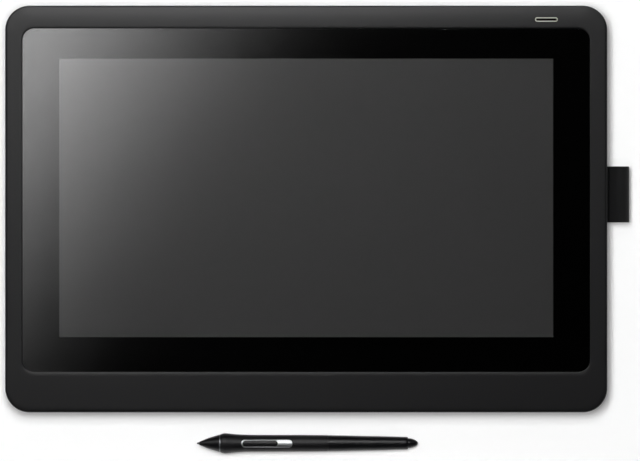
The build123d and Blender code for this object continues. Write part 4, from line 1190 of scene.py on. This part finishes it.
def screw_tree():
    """Geometry Nodes: a domed cross-head screw on every point, its head downwards."""
    tree, given = new_tree("back_screws", {label: "Float" for label in screw_sizes})
    math = "ShaderNodeMath"

    def moved(mesh, height):
        """A mesh shifted up by a height."""
        place = add_node(tree, "ShaderNodeCombineXYZ", {"Z": height})
        return add_node(tree, "GeometryNodeTransform", {"Geometry": mesh, "Translation": place}).outputs[0]

    disc = add_node(
        tree, "GeometryNodeMeshCylinder",
        {"Vertices": head_sides, "Radius": given["Head radius"], "Depth": given["Head height"]},
    )
    half_head = add_node(tree, math, {0: given["Head height"], 1: -0.5}, operation="MULTIPLY")
    ball_radius = add_node(tree, math, {0: given["Head radius"], 1: ball_ratio}, operation="MULTIPLY")
    ball = add_node(
        tree, "GeometryNodeMeshUVSphere",
        {"Segments": head_sides, "Rings": ball_rings, "Radius": ball_radius},
    )
    ball_place = add_node(tree, math, {0: ball_radius, 1: given["Head height"]}, operation="SUBTRACT")
    domed = add_node(tree, "GeometryNodeMeshBoolean", operation="INTERSECT", solver="EXACT")
    for part in (moved(disc, half_head), moved(ball, ball_place)):
        tree.links.new(part, domed.inputs["Mesh 2"])
    depth = add_node(tree, math, {0: given["Recess depth"], 1: 2.0}, operation="MULTIPLY")
    face = add_node(tree, math, {0: given["Head height"], 1: -1.0}, operation="MULTIPLY")
    headed = add_node(
        tree, "GeometryNodeMeshBoolean", {"Mesh 1": domed}, operation="DIFFERENCE", solver="EXACT"
    )
    for across, along in (("Recess width", "Recess length"), ("Recess length", "Recess width")):
        size = add_node(tree, "ShaderNodeCombineXYZ", {"X": given[across], "Y": given[along], "Z": depth})
        bar = add_node(tree, "GeometryNodeMeshCube", {"Size": size})
        tree.links.new(moved(bar, face), headed.inputs["Mesh 2"])
    shank = add_node(
        tree, "GeometryNodeMeshCylinder",
        {"Vertices": shank_sides, "Radius": given["Shank radius"], "Depth": given["Shank length"]},
    )
    half_shank = add_node(tree, math, {0: given["Shank length"], 1: 0.5}, operation="MULTIPLY")
    screw = add_node(tree, "GeometryNodeJoinGeometry")
    for part in (headed.outputs["Mesh"], moved(shank, half_shank)):
        tree.links.new(part, screw.inputs[0])
    turn = add_node(
        tree, "FunctionNodeRandomValue", {2: 0.0, 3: pi / 2, "Seed": turn_seed}, data_type="FLOAT"
    )
    angle = add_node(tree, "ShaderNodeCombineXYZ", {"Z": turn.outputs[1]})
    placed = add_node(
        tree, "GeometryNodeInstanceOnPoints",
        {"Points": given["Geometry"], "Instance": screw, "Rotation": angle},
    )
    return end_tree(tree, placed, given["Finish"])

# %% Screws in the back
baked_crisp_angle = 0.5


def on_tablet(x, y, height):
    """A point measured in millimetres from the middle of the tablet, at a height."""
    return Vector((tablet.x + x * MM, tablet.y + y * MM, height * MM))


places = [on_tablet(side * x, y, screw_seat) for x, rows in screw_columns for side in (-1, 1) for y in rows]
holder = mesh_object("screw_places", places)
run_tree(holder, screw_tree(), {**screw_sizes, "Finish": finishes["black_screw"]})
screws = plain_mesh("domed_back_screws", holder)
screws.data.shade_smooth()
screws.data.set_sharp_from_angle(angle=baked_crisp_angle)
place_piece(screws, "black_screw", "display", "cover_screws")

# %% [markdown]
# ## Feet
# Four rubber strips stand on the desk. Fine grooves across them stop them from sucking on to it. Each strip
# is a stack of outlines with a rounded rim, and a tree takes a row of narrow bars out of its underside.

# %% A tree that cuts grooves
feet_low, feet_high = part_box("rubber_feet")
foot_length, foot_width, foot_rim = 60.0, 9.0, 0.8
foot_steps = 5
foot_columns = (-130.0, 130.0)
foot_rows = (-118.0, 124.5)
groove_pitch, groove_width, groove_depth = 1.5, 0.5, 0.35
groove_count = 36


def groove_tree():
    """Geometry Nodes: take a row of bars out of the underside of a strip."""
    kinds = {"Start": "Vector", "Pitch": "Vector", "Bar": "Vector", "Count": "Int"}
    tree, given = new_tree("grooved_strip", kinds)
    row = add_node(
        tree, "GeometryNodeMeshLine",
        {"Count": given["Count"], "Start Location": given["Start"], "Offset": given["Pitch"]},
        mode="OFFSET",
    )
    bar = add_node(tree, "GeometryNodeMeshCube", {"Size": given["Bar"]})
    bars = add_node(tree, "GeometryNodeInstanceOnPoints", {"Points": row, "Instance": bar})
    real = add_node(tree, "GeometryNodeRealizeInstances", {"Geometry": bars})
    grooved = add_node(
        tree, "GeometryNodeMeshBoolean", {"Mesh 1": given["Geometry"]}, operation="DIFFERENCE", solver="EXACT"
    )
    tree.links.new(real.outputs[0], grooved.inputs["Mesh 2"])
    return end_tree(tree, grooved, given["Finish"])

# %% Rubber feet
def joined(name, parts):
    """One object made of several, which are removed."""
    shape = bmesh.new()
    for part in parts:
        shape.from_mesh(part.data)
        bpy.data.objects.remove(part)
    return finished_mesh(name, shape, baked_crisp_angle)


def foot_strip(x, y, tree):
    """One strip with its rounded rim, grooved across."""
    rows = []
    for height, inset in rounding(foot_rim, foot_steps):
        rows.append(pill(foot_length - 2 * inset, foot_width - 2 * inset, height, (x, y)))
    rows.append(pill(foot_length, foot_width, feet_high.z / MM, (x, y)))
    strip = stack("strip", rows)
    run_tree(strip, tree, {
        "Start": on_tablet(x - groove_pitch * (groove_count - 1) / 2, y, feet_low.z / MM),
        "Pitch": (groove_pitch * MM, 0, 0),
        "Bar": (groove_width * MM, 2 * foot_width * MM, 2 * groove_depth * MM),
        "Count": groove_count,
        "Finish": finishes["foot_rubber"],
    })
    return plain_mesh("strip", strip)


tree = groove_tree()
strips = [foot_strip(x, y, tree) for x in foot_columns for y in foot_rows]
place_piece(joined("grooved_rubber_feet", strips), "foot_rubber", "display", "rubber_feet")

# %% [markdown]
# ## Moulded pieces with soft edges
# A mould can't make a knife edge: every edge of the cover, the legs and the small parts is a little round,
# and that roundness catches the light as a thin line. Their shapes come from the frame, so a copy of each
# mesh is merged, its flat faces are made whole again, and a Bevel modifier rounds its edges. Weighted
# normals keep the large faces flat in the shading.

# %% Copies with soft edges
merge_distance = 0.002
flat_angle = 0.01
least_angle = 0.6
bevel_segments = 2


def volume_of(mesh):
    """The volume that a closed mesh holds, in cubic centimetres."""
    shape = bmesh.new()
    shape.from_mesh(mesh)
    volume = shape.calc_volume() / (10 * MM) ** 3
    shape.free()
    return round(volume, 3)


def softened(node_name, name, body, width):
    """A copy of a CAD node with its edges rounded by a width in millimetres."""
    shape = bmesh.new()
    shape.from_mesh(nodes[node_name].data)
    bmesh.ops.remove_doubles(shape, verts=shape.verts, dist=merge_distance * MM)
    bmesh.ops.dissolve_limit(shape, angle_limit=flat_angle, verts=shape.verts, edges=shape.edges)
    piece = finished_mesh(name, shape)
    bevel = piece.modifiers.new("soft_edges", "BEVEL")
    bevel.width = width * MM
    bevel.segments = bevel_segments
    bevel.limit_method = "ANGLE"
    bevel.angle_limit = least_angle
    bevel.use_clamp_overlap = False
    piece.modifiers.new("flat_faces", "WEIGHTED_NORMAL").keep_sharp = True
    settle(piece)
    place_piece(piece, slot_of[node_name], body, node_name)
    print("  volume", volume_of(piece.data), "cm3, in the frame", volume_of(nodes[node_name].data))


for side in ("left", "right"):
    softened(side + "_leg", side + "_moulded_leg", side + "_leg", 0.35)
    softened(side + "_leg_pad", side + "_rubber_tip", side + "_leg", 0.4)
softened("cable_lid", "moulded_cable_lid", "cable_lid", 0.3)
softened("loop_anchor", "moulded_loop_anchor", "pen_loop", 0.2)
softened("rear_cover", "moulded_rear_cover", "display", 0.35)
